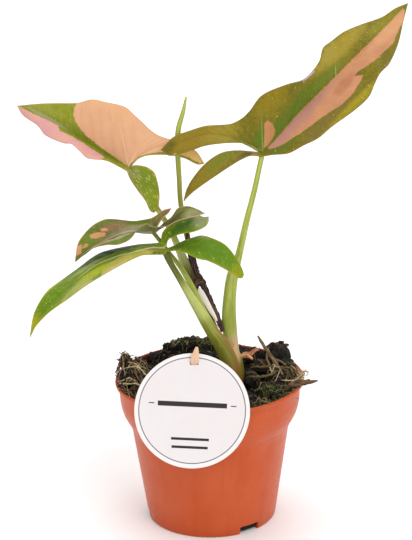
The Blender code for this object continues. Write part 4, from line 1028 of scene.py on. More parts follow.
def stem_finish(name, settings, low, high, side, bands, blush=0.0, seam=None):
    """A fleshy green stalk: fibres along it, painted shade down one side and a painted highlight down the
    other, bands (some of them painted shade under the blade), an olive or pink foot.
    """
    f = Finish(name, 0.45, 0.22, 0.08, 1.5)
    run = f.attribute("run")
    around, across, _ = f.parts(run)
    share = f.attribute("share", "Fac")
    place = f.place()
    z = f.parts(place)[2]
    streak = f.noise(run, (3.0, 3.0, 0.05), 5, 0.65)
    stripe = f.noise(run, (1.3, 1.3, 0.03))
    cloud = f.noise(run, (0.8, 0.8, 0.09))
    hair = f.noise(run, (7.0, 7.0, 0.16), 3, 0.7)
    f.lay(settings.green, settings.green_light, f.step(streak, 0.35, 0.68))
    f.coat(settings.green_deep, f.step(stripe, 0.46, 0.64), 0.38)
    f.coat(settings.green_deep, f.step(hair, 0.5, 0.7), 0.4)
    f.coat(settings.green_light, f.step(cloud, 0.5, 0.7), 0.3)
    # Painted shade down one side of the stalk, chosen by side, and a painted highlight down the other
    f.coat(settings.green_deep, f.step(f.times(around, side), 0.0, 1.0), 0.75)
    f.coat(settings.green_light, f.step(f.times(around, side), -0.55, -0.95), 0.5)
    for middle, reach, tint, strength in bands:
        gap = f.torn(f.off(share, middle), streak, reach * 0.8)
        f.coat(tint, f.step(gap, reach, reach * 0.4), strength)
    if seam:
        middle, begin, end = seam
        edge = f.times(f.step(f.off(around, middle), 0.12, 0.03), f.step(across, 0.1, -0.1))
        f.coat(settings.seam, edge, f.step(share, begin - 0.06, begin), f.step(share, end + 0.06, end), 0.8)
    f.coat(settings.blush, f.step(f.torn(z, cloud, 16.0), high, low), blush)
    f.coat(settings.foot, f.step(f.torn(z, stripe, 12.0), low, low - 10.0), 0.9)
    speck, pick = f.cells(run, (1.6, 1.6, 0.5))
    f.coat((196, 206, 130), f.step(speck, 0.22, 0.1), f.step(pick, 0.8, 0.85), 0.5)
    return f.finish([(streak, 0.5, 0.3), (f.noise(place, 2.5, 2), 0.12, 0.12)])


def blade_finish(name, look, under=False):
    """A leaf face: greens and bronzes washed together, with some painted sheen, patches, flecks, veins and
    skin.
    """
    f = Finish(name, look["roughness"], look["specular"], 0.08, 1.2)
    place = f.attribute("flat")
    flat = f.stretch(place, (1, 1, 0))
    along, left, _ = f.parts(place)
    out, inset, run = f.parts(f.attribute("blade"))
    slanted = f.less(run, f.times(out, VEIN_SLANT))
    cloud = f.noise(place, 0.09, 4)
    mottle = f.noise(place, 0.4, 4)
    grain = f.noise(place, 1.5, 4, 0.7)
    streak = f.noise(f.join(slanted, out, left), (1.5, 0.22, 0.02))
    ragged = f.torn(f.torn(0.0, streak, 2.0), mottle, 1.4)
    pits = f.step(grain, 0.5, 0.3)

    f.lay(look["body"], look["shade"], f.step(f.mostly(mottle, cloud), 0.4, 0.6))
    for oval in look["washes"]:
        f.wash(flat, ragged, oval)
    f.coat(look["margin"], f.step(inset, 3.6, 0.4), f.step(mottle, 0.35, 0.65), 0.6)
    spacing = f.maths("FRACT", f.times(slanted, 1 / VEIN_SPACING))
    lateral = f.times(f.step(f.off(spacing, 0.5), 0.05, 0.0), f.step(out, 0.5, 2.0), f.step(inset, 0.3, 3.0))
    f.coat(look["vein"], lateral, 0.16)

    main = f.step(along, -2.0, 3.0)
    speck, pick = f.cells(flat, (0.5, 0.72, 1.0))
    dots = f.times(f.step(speck, 0.26, 0.14), f.picked(pick, look["fleck_share"]), main)
    smear, pick = f.cells(f.join(run, out, left), (0.3, 0.9, 0.05))
    smears = f.times(f.step(f.plus(smear, f.times(ragged, 0.08)), 0.4, 0.2),
                     f.picked(pick, look["lobe_fleck_share"]), f.less(1.0, main))
    f.coat(look["fleck"], f.most(dots, smears), 0.8)
    f.coat(look["fleck"], f.step(grain, 0.5, 0.72), 0.22)
    f.coat(f.mix(0.55, look["shade"], (40, 48, 16)), pits, 0.34)

    for distance, (plain, other) in zip(f.parts(f.attribute("zone")), look["patches"]):
        ground = f.colour
        f.lay(plain, other, f.step(f.mostly(cloud, streak), 0.38, 0.62))
        f.coat(look["vein"], lateral, 0.22)
        f.coat(other, pits, 0.14)
        for oval in look["late"]:
            f.wash(flat, ragged, oval)
        edge = f.plus(distance, f.torn(f.times(ragged, 0.7), grain, 1.6))
        f.colour = f.mix(f.step(edge, -0.16, 0.2), ground, f.colour)

    for drawn in look["lines"]:
        f.line(flat, drawn)
    width = look["rib_width"]
    rib = f.times(f.step(f.plus(out, f.times(ragged, 0.1)), width, width / 3), f.step(run, 84.0, 30.0), main)
    f.coat(look["vein"], rib, look["midrib"])
    f.coat(look["edge"], f.step(inset, 0.8, 0.3), 0.75)
    if under:
        f.coat((158, 166, 112), 0.35)
    skin, _ = f.cells(place, 1.5)
    relief = [(lateral, -0.35, 0.25), (skin, 0.15, 0.15), (mottle, 0.3, 0.6), (streak, 0.2, 0.3)]
    gloss = look["roughness"] + (0.2 if under else 0.0)
    return f.finish(relief, f.spread(streak, gloss - 0.06, gloss + 0.08))


def card_finish(settings):
    """Coated card with a thin printed ring and plain ruled lines on its face."""
    f = Finish("coated_card", 0.55)
    place = f.place()
    x, y, z = f.parts(place)
    radius = f.reach(x, f.less(y, RING_UP))
    width = settings.line_width / MM
    ink = f.times(f.step(f.off(radius, RING_R), width * 0.65, width * 0.35), 0.85)
    for along, up, half_length, half_height in RULES:
        past = f.most(f.less(f.off(x, along), half_length), f.less(f.off(y, up), half_height))
        ink = f.most(ink, f.step(past, 0.08, -0.08))
    grain = f.noise(place, 2.2, 4)
    f.lay(settings.card, settings.card_warm, f.step(f.noise(place, 0.05, 2), 0.3, 0.7))
    f.coat((226, 216, 214), f.step(grain, 0.5, 0.8), 0.1)
    f.coat(settings.card_rim, f.step(radius, RING_R - 0.2, RING_R + 0.2))
    f.coat(settings.ink, ink, f.step(z, 0.1, 0.3))
    return f.finish([(grain, 0.06, 0.05), (f.noise(place, 9.0, 2), 0.05, 0.02)])


# Pot

def pot_profiles():
    """The pot's outside from foot to lip and inside from lip to floor."""
    lip_r = settings_of("pot").lip_radius / MM
    height = settings_of("pot").height / MM
    outside = [(BASE_R - FOOT_BEVEL, 0), (BASE_R, FOOT_BEVEL), (BODY_TOP_R, BODY_TOP_Z),
               (BODY_TOP_R + 0.5, BAND_FOOT_Z)]
    outside += [(radius, z) for radius, z, _ in BAND_CURVE]
    outside += [(BAND_R + 0.6, LIP_Z - 0.3), (lip_r - 0.4, LIP_Z), (lip_r, LIP_Z + LIP_BEVEL),
                (lip_r, height - LIP_BEVEL), (lip_r - LIP_BEVEL, height)]
    inside = [(lip_r - LIP_TOP, height), (lip_r - LIP_TOP - LIP_SLOPE[0], height - LIP_SLOPE[1])]
    inside += [(radius - WALL, z) for radius, _, z in reversed(BAND_CURVE)]
    inside += [(BODY_TOP_R + 0.3 - WALL, BAND_FOOT_Z + 0.6), (BODY_TOP_R - WALL, BODY_TOP_Z),
               (BASE_R + 0.2 - WALL, FLOOR)]
    return outside, inside


def build_pot(settings):
    finish = plastic_finish(settings)
    outside, inside = pot_profiles()
    segments = settings.segments
    profile = rounded([(0, 0)] + outside)[:-1]
    profile += rounded([outside[-1]] + inside)[:-1] + [inside[-1], (0, FLOOR)]
    pot = make_solid("nursery_pot", *lathe(profile, segments), [finish], POT_EDGE)
    envelope_profile = [(0, CHANNEL_SILL), outside[1], outside[2], (0, outside[2][1])]
    hole_low = CHANNEL_HEIGHT - PAST_FLOOR
    hole_high = CHANNEL_HEIGHT + 2 * PAST_FLOOR
    hole_profile = [(0, hole_low), (DRAIN_HOLE_R, hole_low), (DRAIN_HOLE_R, hole_high), (0, hole_high)]
    half = CHANNEL_WIDTH / 2
    for turn in CHANNEL_TURNS:
        low = (-half - WALL, -PAST_WALL, CHANNEL_SILL)
        high = (half + WALL, -CHANNEL_INNER_R + WALL, CHANNEL_HEIGHT + WALL)
        shell = make_solid("shell", *block(low, high, turn), [finish])
        cut(shell, make_solid("envelope", *lathe(envelope_profile, segments), [finish]), "INTERSECT")
        cut(pot, shell, "UNION")
        hollow = block((-half, -PAST_WALL, -PAST_FLOOR), (half, -CHANNEL_INNER_R, CHANNEL_HEIGHT), turn)
        hollow = make_solid("hollow", *hollow, [finish])
        ease = hollow.modifiers.new("ease", "BEVEL")
        ease.width = CHANNEL_EASE * MM
        ease.segments = 3
        apply_modifiers(hollow)
        cut(pot, hollow)
        centre = Matrix.Rotation(math.radians(turn), 3, "Z") @ Vector((0, -DRAIN_HOLE_OUT, 0))
        points, faces = lathe(hole_profile, 32)
        cut(pot, make_solid("hole", np.array(points) + np.array(centre), faces, [finish]))
    shade(pot.data, POT_EDGE)
    settle(pot, "pot_plastic", "pot")


# Soil

def read_vectors(mesh, field):
    """The mesh's points or normals as rows of an array."""
    values = np.zeros(len(mesh.vertices) * 3)
    mesh.vertices.foreach_get(field, values)
    return values.reshape(-1, 3)


def build_peat(settings):
    """The packed soil's crust remade in crumbs, on a plain plug that fills the pot."""
    finish = peat_finish(settings)
    bm = bmesh.new()
    bm.from_mesh(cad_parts["soil"].data)
    bmesh.ops.remove_doubles(bm, verts=bm.verts, dist=WELD * MM)
    slice_off(bm, (0, 0, PEAT_CUT_Z * MM), (0, 0, -1))
    mesh = bpy.data.meshes.new("peat")
    bm.to_mesh(mesh)
    bm.free()
    crust = link_object("peat", mesh)
    remesh = crust.modifiers.new("crumb_grid", "REMESH")
    remesh.mode = "VOXEL"
    remesh.voxel_size = settings.grain
    apply_modifiers(crust)
    points = read_vectors(crust.data, "co") / MM
    lift = np.array([crumb_height(Vector(p)) for p in points])
    ease = np.clip((points[:, 2] - CRUMBS_FROM_Z) / CRUMBS_EASE, 0, 1)
    points += read_vectors(crust.data, "normal") * (lift * ease)[:, None]
    keep_inside_wall(points)
    faces = [tuple(p.vertices) for p in crust.data.polygons]
    bpy.data.objects.remove(crust, do_unlink=True)
    inside = reversed(pot_profiles()[1])
    side = [(r - PLUG_GAP, z + (PLUG_GAP if z == FLOOR else 0)) for r, z in inside if z < PEAT_CUT_Z - 3]
    plug_top = PEAT_CUT_Z + PLUG_LAP
    plug = [(0, side[0][1])] + side + [(side[-1][0] - 0.5, plug_top), (0, plug_top)]
    plug_points, plug_faces = lathe(plug, 96)
    faces += shifted(plug_faces, len(points))
    points = np.concatenate([points, plug_points])
    return settle(make_solid("peat_bed", points, faces, [finish], 180.0), "peat", "soil")


def crumb_height(p):
    """How far the peat's crumbs stand out at a point, in millimetres."""
    height = sum(tall * noise.noise(p / wide + Vector((shift, 0, 0))) for tall, wide, shift in CRUMB_SIZES)
    height += 1.2 * max(0.0, noise.noise(p / 2.3 + Vector((0, 9, 0)))) ** 1.5
    return height - 0.3


def keep_inside_wall(points):
    """Draw points that came through the pot's wall back inside it."""
    radii, heights = np.array(pot_profiles()[1][::-1]).T
    limit = np.interp(points[:, 2], heights, radii) - PEAT_GAP
    reach = np.hypot(points[:, 0], points[:, 1])
    past = (points[:, 2] < WALL_TOP_Z) & (reach > limit)
    points[:, :2] *= np.where(past, limit / np.maximum(reach, TINY), 1.0)[:, None]


class Ground:
    """Finds the surface of the peat and its clods under a point."""

    def __init__(self, *pieces):
        points, faces = [], []
        for obj in pieces:
            faces += shifted([p.vertices for p in obj.data.polygons], len(points))
            points += [v.co / MM for v in obj.data.vertices]
        self.tree = BVHTree.FromPolygons(points, faces)

    def height(self, x, y):
        hit = self.tree.ray_cast(Vector((x, y, OVER_SOIL_Z)), Vector((0, 0, -1)))[0]
        rim = RIM_Z if RIM_R[0] < math.hypot(x, y) < RIM_R[1] else -1.0
        return max(hit.z if hit else BARE_Z, rim)


def spot_in(rng, bed):
    """A random place in an oval bed, inside the pot's rim."""
    while True:
        turn = rng.uniform(0, 2 * math.pi)
        reach = math.sqrt(rng.random())
        x = bed[0] + bed[2] * reach * math.cos(turn)
        y = bed[1] + bed[3] * reach * math.sin(turn)
        if math.hypot(x, y) < SOIL_R:
            return x, y


def lying_line(rng, ground, start, length, arch, steps, wander=0.35):
    """A line that wanders over the peat and arches up between its ends."""
    x, y = start
    heading = rng.uniform(0, 2 * math.pi)
    pace = length / steps
    line = []
    for k in range(steps + 1):
        line.append([x, y, ground.height(x, y) + arch * math.sin(math.pi * (k / steps)) + 0.15])
        heading += rng.uniform(-wander, wander)
        x += pace * math.cos(heading)
        y += pace * math.sin(heading)
        if math.hypot(x, y) > RIM_R[1]:
            heading = math.atan2(-y, -x) + rng.uniform(-1, 1)
            x += 2 * pace * math.cos(heading)
            y += 2 * pace * math.sin(heading)
    for before, here, after in zip(line, line[1:], line[2:]):
        here[2] = max(here[2], (before[2] + after[2]) / 2 * 0.6 + here[2] * 0.4)
    return line


def standing_line(rng, ground, start, length, lean, steps):
    """A line that rises from the peat, leans over and curls."""
    x, y = start
    z = ground.height(x, y) - 0.8
    heading = rng.uniform(0, 2 * math.pi)
    pitch = rng.uniform(0.5, 1.5)
    pace = length / steps
    line = []
    for _ in range(steps + 1):
        line.append((x, y, z))
        x += pace * math.cos(heading) * math.cos(pitch)
        y += pace * math.sin(heading) * math.cos(pitch)
        z += pace * math.sin(pitch)
        pitch -= lean * rng.uniform(0.1, 0.5)
        heading += rng.uniform(-0.4, 0.4)
    return line


def scatter(beds, share, seed):
    """Each bed as often as something grows in it, with the random numbers for it."""
    rng = random.Random(LITTER_SEED + seed)
    for bed in beds:
        for _ in range(round(bed[4] * share)):
            yield rng, bed


def build_clods():
    """Rough lumps of matted peat: balls drawn out to their size and roughened."""
    bundle = Bundle()
    round_points, faces = ball(5)
    for k, (centre, size) in enumerate(CLODS):
        points = []
        for p in round_points:
            spot = p * Vector(size)
            rough = 1.0 + 0.3 * noise.noise(p * 1.5 + Vector((k, 0, 0)))
            out = spot * rough + p * 1.15 * crumb_height(spot + Vector((0, 11 * k, 0)))
            points.append(out + Vector(centre))
        points = np.array(points)
        keep_inside_wall(points)
        bundle.add(points, faces, 0.5)
    return settle(bundle.object("peat_clods", bpy.data.materials["peat_crumb"]), "peat")


def build_tufts(settings, ground):
    """Dry fibres that stand on end, as in a torn mat of roots."""
    bundle = Bundle()
    for rng, bed in scatter(TUFTS, settings.fibre_share, 4):
        start = spot_in(rng, bed)
        line = standing_line(rng, ground, start, bed[5] * rng.uniform(0.35, 1.0), 0.7, 6)
        radius = rng.uniform(0.15, 0.5)
        bundle.tube(line, [radius * (1 - 0.12 * k) for k in range(7)], 4, rng.random())
    finish = litter_finish("dry_tuft", settings.fibre_deep, settings.tuft, settings.fibre)
    settle(bundle.object("dry_tufts", finish), "peat")


def build_moss(settings, ground):
    """Short strands, some of them lying and some standing."""
    bundle = Bundle()
    for rng, bed in scatter(MOSS_BEDS, settings.moss_share, 0):
        length = rng.uniform(bed[5], bed[6])
        radius = rng.uniform(0.13, 0.3)
        start = spot_in(rng, bed)
        if rng.random() < 0.65:
            line = lying_line(rng, ground, start, length, bed[7] * rng.uniform(0.1, 0.7), 5)
        else:
            line = standing_line(rng, ground, start, length * rng.uniform(0.4, 0.8), 1.0, 5)
        bundle.tube(line, [radius * s for s in (0.8, 1.0, 1.0, 0.8, 0.6, 0.2)], 4, rng.random())
    finish = litter_finish("moss_strand", settings.moss_deep, settings.moss, settings.moss_light)
    settle(bundle.object("moss_strands", finish), "peat")


def build_fibres(settings, ground):
    """Long thin roots that wander over the peat."""
    bundle = Bundle()
    for rng, bed in scatter(FIBRE_BEDS, settings.fibre_share, 1):
        length = rng.uniform(bed[5], bed[6])
        radius = rng.uniform(0.14, 0.3) * rng.choice((1.0, 1.0, 1.5, 2.2))
        line = lying_line(rng, ground, spot_in(rng, bed), length, bed[7] * rng.uniform(0.2, 1.0), 9, 0.16)
        bundle.tube(line, [radius * (1 - 0.5 * k / 9) for k in range(10)], 5, rng.random() ** 1.7)
    finish = litter_finish("root_fibre", settings.fibre_deep, settings.fibre, settings.fibre_light)
    settle(bundle.object("root_fibres", finish), "peat")


def lump(rng, centre, size):
    """A small angular crumb or chip: a distorted ball flattened to its size."""
    round_points, faces = ball(1)
    spin = Matrix.Rotation(rng.uniform(0, 6.28), 3, "Z") @ Matrix.Rotation(rng.uniform(-0.5, 0.5), 3, "X")
    points = []
    for p in round_points:
        rough = 1.0 + rng.uniform(-0.28, 0.28)
        points.append(spin @ (p * Vector(size) * rough) + Vector(centre))
    return points, faces


def build_crumbs(settings, ground):
    """Loose crumbs of bark, from grit up to small chips."""
    rng = random.Random(LITTER_SEED + 2)
    bundle = Bundle()
    for _ in range(settings.crumbs):
        x, y = spot_in(rng, CRUMB_BED)
        size = rng.uniform(0.5, 1.7)
        shape = (size * rng.uniform(0.8, 2.2), size, size * rng.uniform(0.4, 0.9))
        bundle.add(*lump(rng, (x, y, ground.height(x, y) + 0.2 * size), shape), rng.random())
    finish = litter_finish("bark_crumb", settings.peat_deep, settings.peat, settings.peat_bark)
    settle(bundle.object("bark_crumbs", finish, CHIP_EDGE), "bark")


def build_sticks(settings):
    """The listed sticks, roughened and thinner towards their ends."""
    rng = random.Random(LITTER_SEED + 3)
    bundle = Bundle()
    last = STICK_STEPS
    for points, radius in STICKS:
        line = smooth_curve(points, last)
        line += np.array([[rng.uniform(-0.3, 0.3) for _ in range(3)] for _ in line])
        radii = []
        for k in range(last + 1):
            radii.append(radius * rng.uniform(0.55, 1.2) * min(1.0, 0.3 + k / 4, 0.3 + (last - k) / 4))
        bundle.tube(line, radii, 8, rng.uniform(0.3, 0.5) if radius > 0.6 else rng.uniform(0.75, 1.0))
    finish = litter_finish("mossy_stick", settings.fibre_deep, settings.stick, settings.fibre_light)
    settle(bundle.object("mossy_sticks", finish), "bark")


# Stems

def stem_body(stations, sides, groove=(0.0, 0.0), rough=0.0, seed=0.0):
    """A tapering stalk through its stations, with ridges, a groove and rough bark."""
    stations = np.array(stations, float)
    starts = lengths_along(stations[:, :3])
    rows = max(6, round(starts[-1] / STEM_PITCH))
    path = smooth_curve(stations[:, :3].tolist(), rows)
    sizes = smooth_curve([(i * 10.0, s[3], s[4]) for i, s in enumerate(stations)], 10 * len(stations))
    shares = np.interp(np.linspace(0, starts[-1], rows + 1), starts, np.arange(len(starts)) * 10.0)
    half_width = np.interp(shares, sizes[:, 0], sizes[:, 1])[:, None]
    half_depth = np.interp(shares, sizes[:, 0], sizes[:, 2])[:, None]
    turn = 2 * np.pi * np.arange(sides) / sides
    direction, depth = groove
    away = np.angle(np.exp(1j * (turn - math.radians(direction))))
    swell = 1.0 - depth * np.exp(-(away / GROOVE_HALF) ** 2)
    lip_out, lip_half, lip_share = GROOVE_LIPS
    swell += lip_share * depth * sum(np.exp(-((away + side) / lip_half) ** 2) for side in (-lip_out, lip_out))
    swell = np.tile(swell * (1.0 + RIDGE_DEPTH * np.cos(RIDGES * turn)), (rows + 1, 1))
    if rough:
        for k, side in np.ndindex(*swell.shape):
            spot = (1.3 * math.cos(turn[side]), 1.3 * math.sin(turn[side]), k * STEM_PITCH * 0.35 + seed)
            swell[k, side] *= 1.0 + rough * noise.noise(Vector(spot) * 1.4)
    points, faces = sleeve(path, half_width * swell, half_depth * swell, (0.0, 1.0, 0.0))
    run = np.empty((rows + 1, sides, 3))
    run[..., 0] = np.cos(turn)
    run[..., 1] = np.sin(turn)
    run[..., 2] = lengths_along(path)[:, None]
    return points, faces, {"run": run.reshape(-1, 3), "share": np.repeat(np.linspace(0, 1, rows + 1), sides)}


def trim_under_blade(obj, leaf):
    """End a stalk in the plane of its blade's foot."""
    place = leaf_frame(leaf)[0]
    bm = bmesh.new()
    bm.from_mesh(obj.data)
    slice_off(bm, place.translation * MM, place.to_3x3() @ Vector((0, 0, 1)))
    bm.to_mesh(obj.data)
    bm.free()


def stem_object(name, lines, sides, finish, groove=(0.0, 0.0), rough=0.0):
    """One object of one or more stems that grow together."""
    points, faces = [], []
    parts = {"run": [], "share": []}
    for k, stations in enumerate(lines):
        more, more_faces, attributes = stem_body(stations, sides, groove, rough, 9.0 * k + len(name))
        faces += shifted(more_faces, len(points))
        points += list(more)
        for key, values in attributes.items():
            parts[key] += list(values)
    return make_solid(name, points, faces, [finish], STEM_EDGE, parts)


def build_stems(settings):
    finishes = {name: stem_finish(settings=settings, **look) for name, look in STEM_LOOKS.items()}
    finishes["dried_sheath"] = dry_finish("dried_sheath_fibre", (36, 24, 24), (126, 94, 82))
    finishes["papery_sheath"] = dry_finish("papery_sheath_fibre", (1.0, 0.84, 0.82, 1), (1.0, 0.95, 0.94, 1))
    finishes["twig"] = bark_finish("twig_bark", (62, 44, 38), (170, 142, 104), 0.5)
    finishes["bark_shard"] = bark_finish("shard_bark", (48, 34, 28), (150, 118, 88), 0.3)
    for name, finish in finishes.items():
        lines = [STEMS[name], *OFFSHOOTS.get(name, [])]
        stalk = stem_object("fine_" + name, lines, settings.sides, finish, GROOVES.get(name, (0.0, 0.0)),
                            ROUGHNESS.get(name, 0.0))
        leaf = LEAVES.get(name.replace("petiole_", ""))
        if leaf:
            trim_under_blade(stalk, leaf)
        settle(stalk, STEM_SLOTS.get(name, "green_stem"), name)


def build_stipule():
    """The dried, forked bract at the foot of the tall stalk."""
    finish = dry_finish("bract_fibre", (164, 78, 44), (255, 200, 150))
    bract = stem_object("fine_stipule", STIPULE_FORKS, STRIP_SIDES, finish, rough=ROUGHNESS["dried_stipule"])
    settle(bract, "orange_bract", "dried_stipule")


# Leaf blades

def leaf_frame(leaf):
    """A matrix from the leaf's own millimetres to the plant's, and the main lobe's length."""
    foot = Vector(leaf["foot"])
    reach = Vector(leaf["tip"]) - foot
    ahead = reach.normalized()
    face = Vector(leaf["face"])
    up = (face - ahead * face.dot(ahead)).normalized()
    axes = Matrix((ahead, up.cross(ahead), up)).transposed()
    return Matrix.Translation(foot) @ axes.to_4x4(), reach.length


def half_lobe(vein, margin, columns):
    """A grid of points from a vein out to a margin, with each one's distances on the blade."""
    share = (np.arange(columns + 1) / columns) ** COLUMN_PACKING
    width = np.linalg.norm(margin - vein, axis=1)[:, None]
    points = vein[:, None] * (1 - share)[:, None] + margin[:, None] * share[:, None]
    points[..., 2] += LEAF_CROWN * width * 4 * (share * (1 - share))
    run = np.repeat(lengths_along(vein)[:, None], columns + 1, 1)
    return points, np.stack([width * share, width * (1 - share), run], 2)


def blade_grids(leaf, rows, lobe_rows, columns):
    """The six half lobes of a blade, each with whether its faces wind forwards."""
    origin = (0, 0, 0)
    tip = (leaf_frame(leaf)[1], 0, 0)
    midrib = smooth_curve([origin, *leaf["midrib"], tip], rows)
    for side in ("left", "right"):
        half = leaf[side]
        forwards = side == "left"
        margin = smooth_curve([half["waist"], *half["margin"], tip], rows)
        vein = smooth_curve([origin, *half["lobe_vein"], half["lobe_tip"]], lobe_rows)
        outer = smooth_curve([half["waist"], *half["outer"], half["lobe_tip"]], lobe_rows)
        inner = smooth_curve([origin, *half["inner"], half["lobe_tip"]], lobe_rows)
        yield half_lobe(midrib, margin, columns), forwards
        yield half_lobe(vein, outer, columns), not forwards
        yield half_lobe(vein, inner, columns), forwards


def blade_sheet(leaf, rows, lobe_rows, columns):
    """The blade's middle sheet: points, faces, and what each point knows of its place."""
    points, known, corners = [], [], []
    count = 0
    for (grid, facts), forwards in blade_grids(leaf, rows, lobe_rows, columns):
        size = grid.shape[0] * grid.shape[1]
        index = np.arange(size).reshape(grid.shape[:2]) + count
        quads = np.stack([index[:-1, :-1], index[1:, :-1], index[1:, 1:], index[:-1, 1:]], 2).reshape(-1, 4)
        corners.append(quads if forwards else quads[:, ::-1])
        points.append(grid.reshape(-1, 3))
        known.append(facts.reshape(-1, 3))
        count += size
    points = np.concatenate(points)
    keys = np.round(points * KEYS_A_MM + 0.123).astype(np.int64)
    _, first, place = np.unique(keys, axis=0, return_index=True, return_inverse=True)
    faces = []
    for quad in place.ravel()[np.concatenate(corners)].tolist():
        face = tuple(dict.fromkeys(quad))
        if len(face) > 2:
            faces.append(face)
    return points[first], faces, np.concatenate(known)[first]


def sheet_edges(faces):
    """Every edge of the sheet, and those that only one face has, as directed pairs."""
    seen = {}
    for face in faces:
        for a, b in zip(face, face[1:] + face[:1]):
            seen.setdefault((min(a, b), max(a, b)), []).append((a, b))
    rim = [pairs[0] for pairs in seen.values() if len(pairs) == 1]
    return np.array(list(seen)), rim


def relax(points, edges, rim):
    """Ease the creases where half lobes meet; the margin keeps its place."""
    fixed = np.zeros(len(points), bool)
    fixed[np.array(rim).ravel()] = True
    neighbours = np.bincount(edges.ravel(), minlength=len(points))
    for _ in range(SMOOTHING_ROUNDS):
        total = np.zeros_like(points)
        np.add.at(total, edges[:, 0], points[edges[:, 1]])
        np.add.at(total, edges[:, 1], points[edges[:, 0]])
        eased = points + 0.5 * (total / neighbours[:, None] - points)
        points = np.where(fixed[:, None], points, eased)
    return points


def sheet_normals(points, faces):
    normals = np.zeros_like(points)
    for a, b, c in ((0, 1, 2), (0, 2, 3)):
        corners = np.array([(f[a], f[b], f[c]) for f in faces if len(f) > c])
        here, ahead, aside = (points[corners[:, k]] for k in range(3))
        flat = np.cross(ahead - here, aside - here)
        for k in range(3):
            np.add.at(normals, corners[:, k], flat)
    return normals / (np.linalg.norm(normals, axis=1)[:, None] + TINY)


def inside_by(places, outline):
    """How far each place lies inside an outline, negative outside it."""
    start = np.array(outline, float)
    end = np.roll(start, -1, 0)
    step = end - start
    away = places[:, None] - start
    along = np.clip((away * step).sum(2) / (step ** 2).sum(1), 0, 1)
    distance = np.linalg.norm(away - along[..., None] * step, axis=2).min(1)
    above = (start[:, 1] > places[:, 1:]) != (end[:, 1] > places[:, 1:])
    rise = np.where(step[:, 1] == 0, TINY, step[:, 1])
    crossing = start[:, 0] + (places[:, 1:] - start[:, 1]) * step[:, 0] / rise
    inside = (above & (places[:, :1] < crossing)).sum(1) % 2 == 1
    return np.where(inside, distance, -distance)


def build_blade(name, leaf, settings):
    """One leaf: a closed thin blade with veins, rib, quilting and its colour patches."""
    flat, faces, known = blade_sheet(leaf, settings.rows, settings.lobe_rows, settings.columns)
    edges, rim = sheet_edges(faces)
    points = relax(flat, edges, rim)
    normals = sheet_normals(points, faces)
    out, inset, run = known.T
    place, length = leaf_frame(leaf)
    taper = np.clip(1.15 - run / length, 0.15, 1.0)
    wave = np.cos(2 * np.pi * (run - VEIN_SLANT * out) / VEIN_SPACING)
    quilt = settings.quilting / MM * wave
    quilt *= np.clip(out / QUILT_FADE, 0, 1) * np.clip(inset / QUILT_FADE, 0, 1)
    lobe_ease = np.clip((flat[:, 0] + 4) / 8, 0.3, 1.0)
    crease = -CREASE_DEPTH * np.exp(-(out / CREASE_HALF) ** 2) * taper * lobe_ease
    fine = FINE_RELIEF * np.array([noise.noise(Vector(p) / FINE_WIDTH) for p in flat])
    fine *= np.clip(inset / 3, 0, 1)
    ribs = settings.rib_height / MM * np.exp(-(out / RIB_HALF) ** 2) * taper
    thick = BLADE_HALF * np.clip(MARGIN_SHARE + inset / 2.0, MARGIN_SHARE, 1.0)
    middle = points + normals * (quilt + crease + fine)[:, None]
    top = middle + normals * thick[:, None]
    under = middle - normals * (thick + ribs)[:, None]
    axes = np.array(place.to_3x3())
    world = np.concatenate([top, under]) @ axes.T + np.array(place.translation)
    count = len(points)
    all_faces = faces + shifted([face[::-1] for face in faces], count)
    all_faces += [(b, a, a + count, b + count) for a, b in rim]
    zone = np.stack([np.max([inside_by(flat[:, :2], outline) for outline in group], 0)
                     for group in PATCHES[name]], 1)
    attributes = {"flat": flat, "blade": known, "zone": zone}
    attributes = {key: np.tile(values, (2, 1)) for key, values in attributes.items()}
    look = LEAF_LOOKS[name]
    finishes = [blade_finish("blade_" + name, look), blade_finish("underside_" + name, look, under=True)]
    obj = make_object("fine_leaf_" + name, world, all_faces, finishes, 180.0, attributes)
    lower = np.zeros(len(all_faces), np.int32)
    lower[len(faces):2 * len(faces)] = 1
    obj.data.polygons.foreach_set("material_index", lower)
    settle(obj, LEAF_SLOTS[name], "leaf_" + name)


# Tag and pick

def build_tag(settings):
    half = TAG_THICKNESS / 2
    profile = [(0, -half), (TAG_R - TAG_BEVEL, -half), (TAG_R, -half + TAG_BEVEL),
               (TAG_R, half - TAG_BEVEL), (TAG_R - TAG_BEVEL, half), (0, half)]
    tag = make_solid("round_tag", *lathe(profile, TAG_SEGMENTS), [card_finish(settings)], TAG_EDGE)
    turn = Matrix.Rotation(math.radians(-TAG_TURN), 4, "Z")
    width, height = SLOT_SIZE
    low = (SLOT_SIDE - width / 2, SLOT_UP - height / 2, -PAST_CARD)
    high = (SLOT_SIDE + width / 2, SLOT_UP + height / 2, PAST_CARD)
    slot = make_solid("slot", *block(low, high), [])
    slot.matrix_world = turn.inverted()
    cut(tag, slot)
    shade(tag.data, TAG_EDGE)
    lean = Matrix.Rotation(math.radians(90 - TAG_LEAN), 4, "X")
    tag.matrix_world = Matrix.Translation(Vector(TAG_CENTRE) * MM) @ lean @ turn
    settle(tag, "tag_card", "name_tag")
    points, faces, attributes = stem_body(STEMS["tag_pick"], STRIP_SIDES, rough=ROUGHNESS["tag_pick"])
    pick = make_solid("fine_pick", points, faces, [wood_finish()], CHIP_EDGE, attributes)
    settle(pick, "pick_wood", "tag_pick")


# Stage

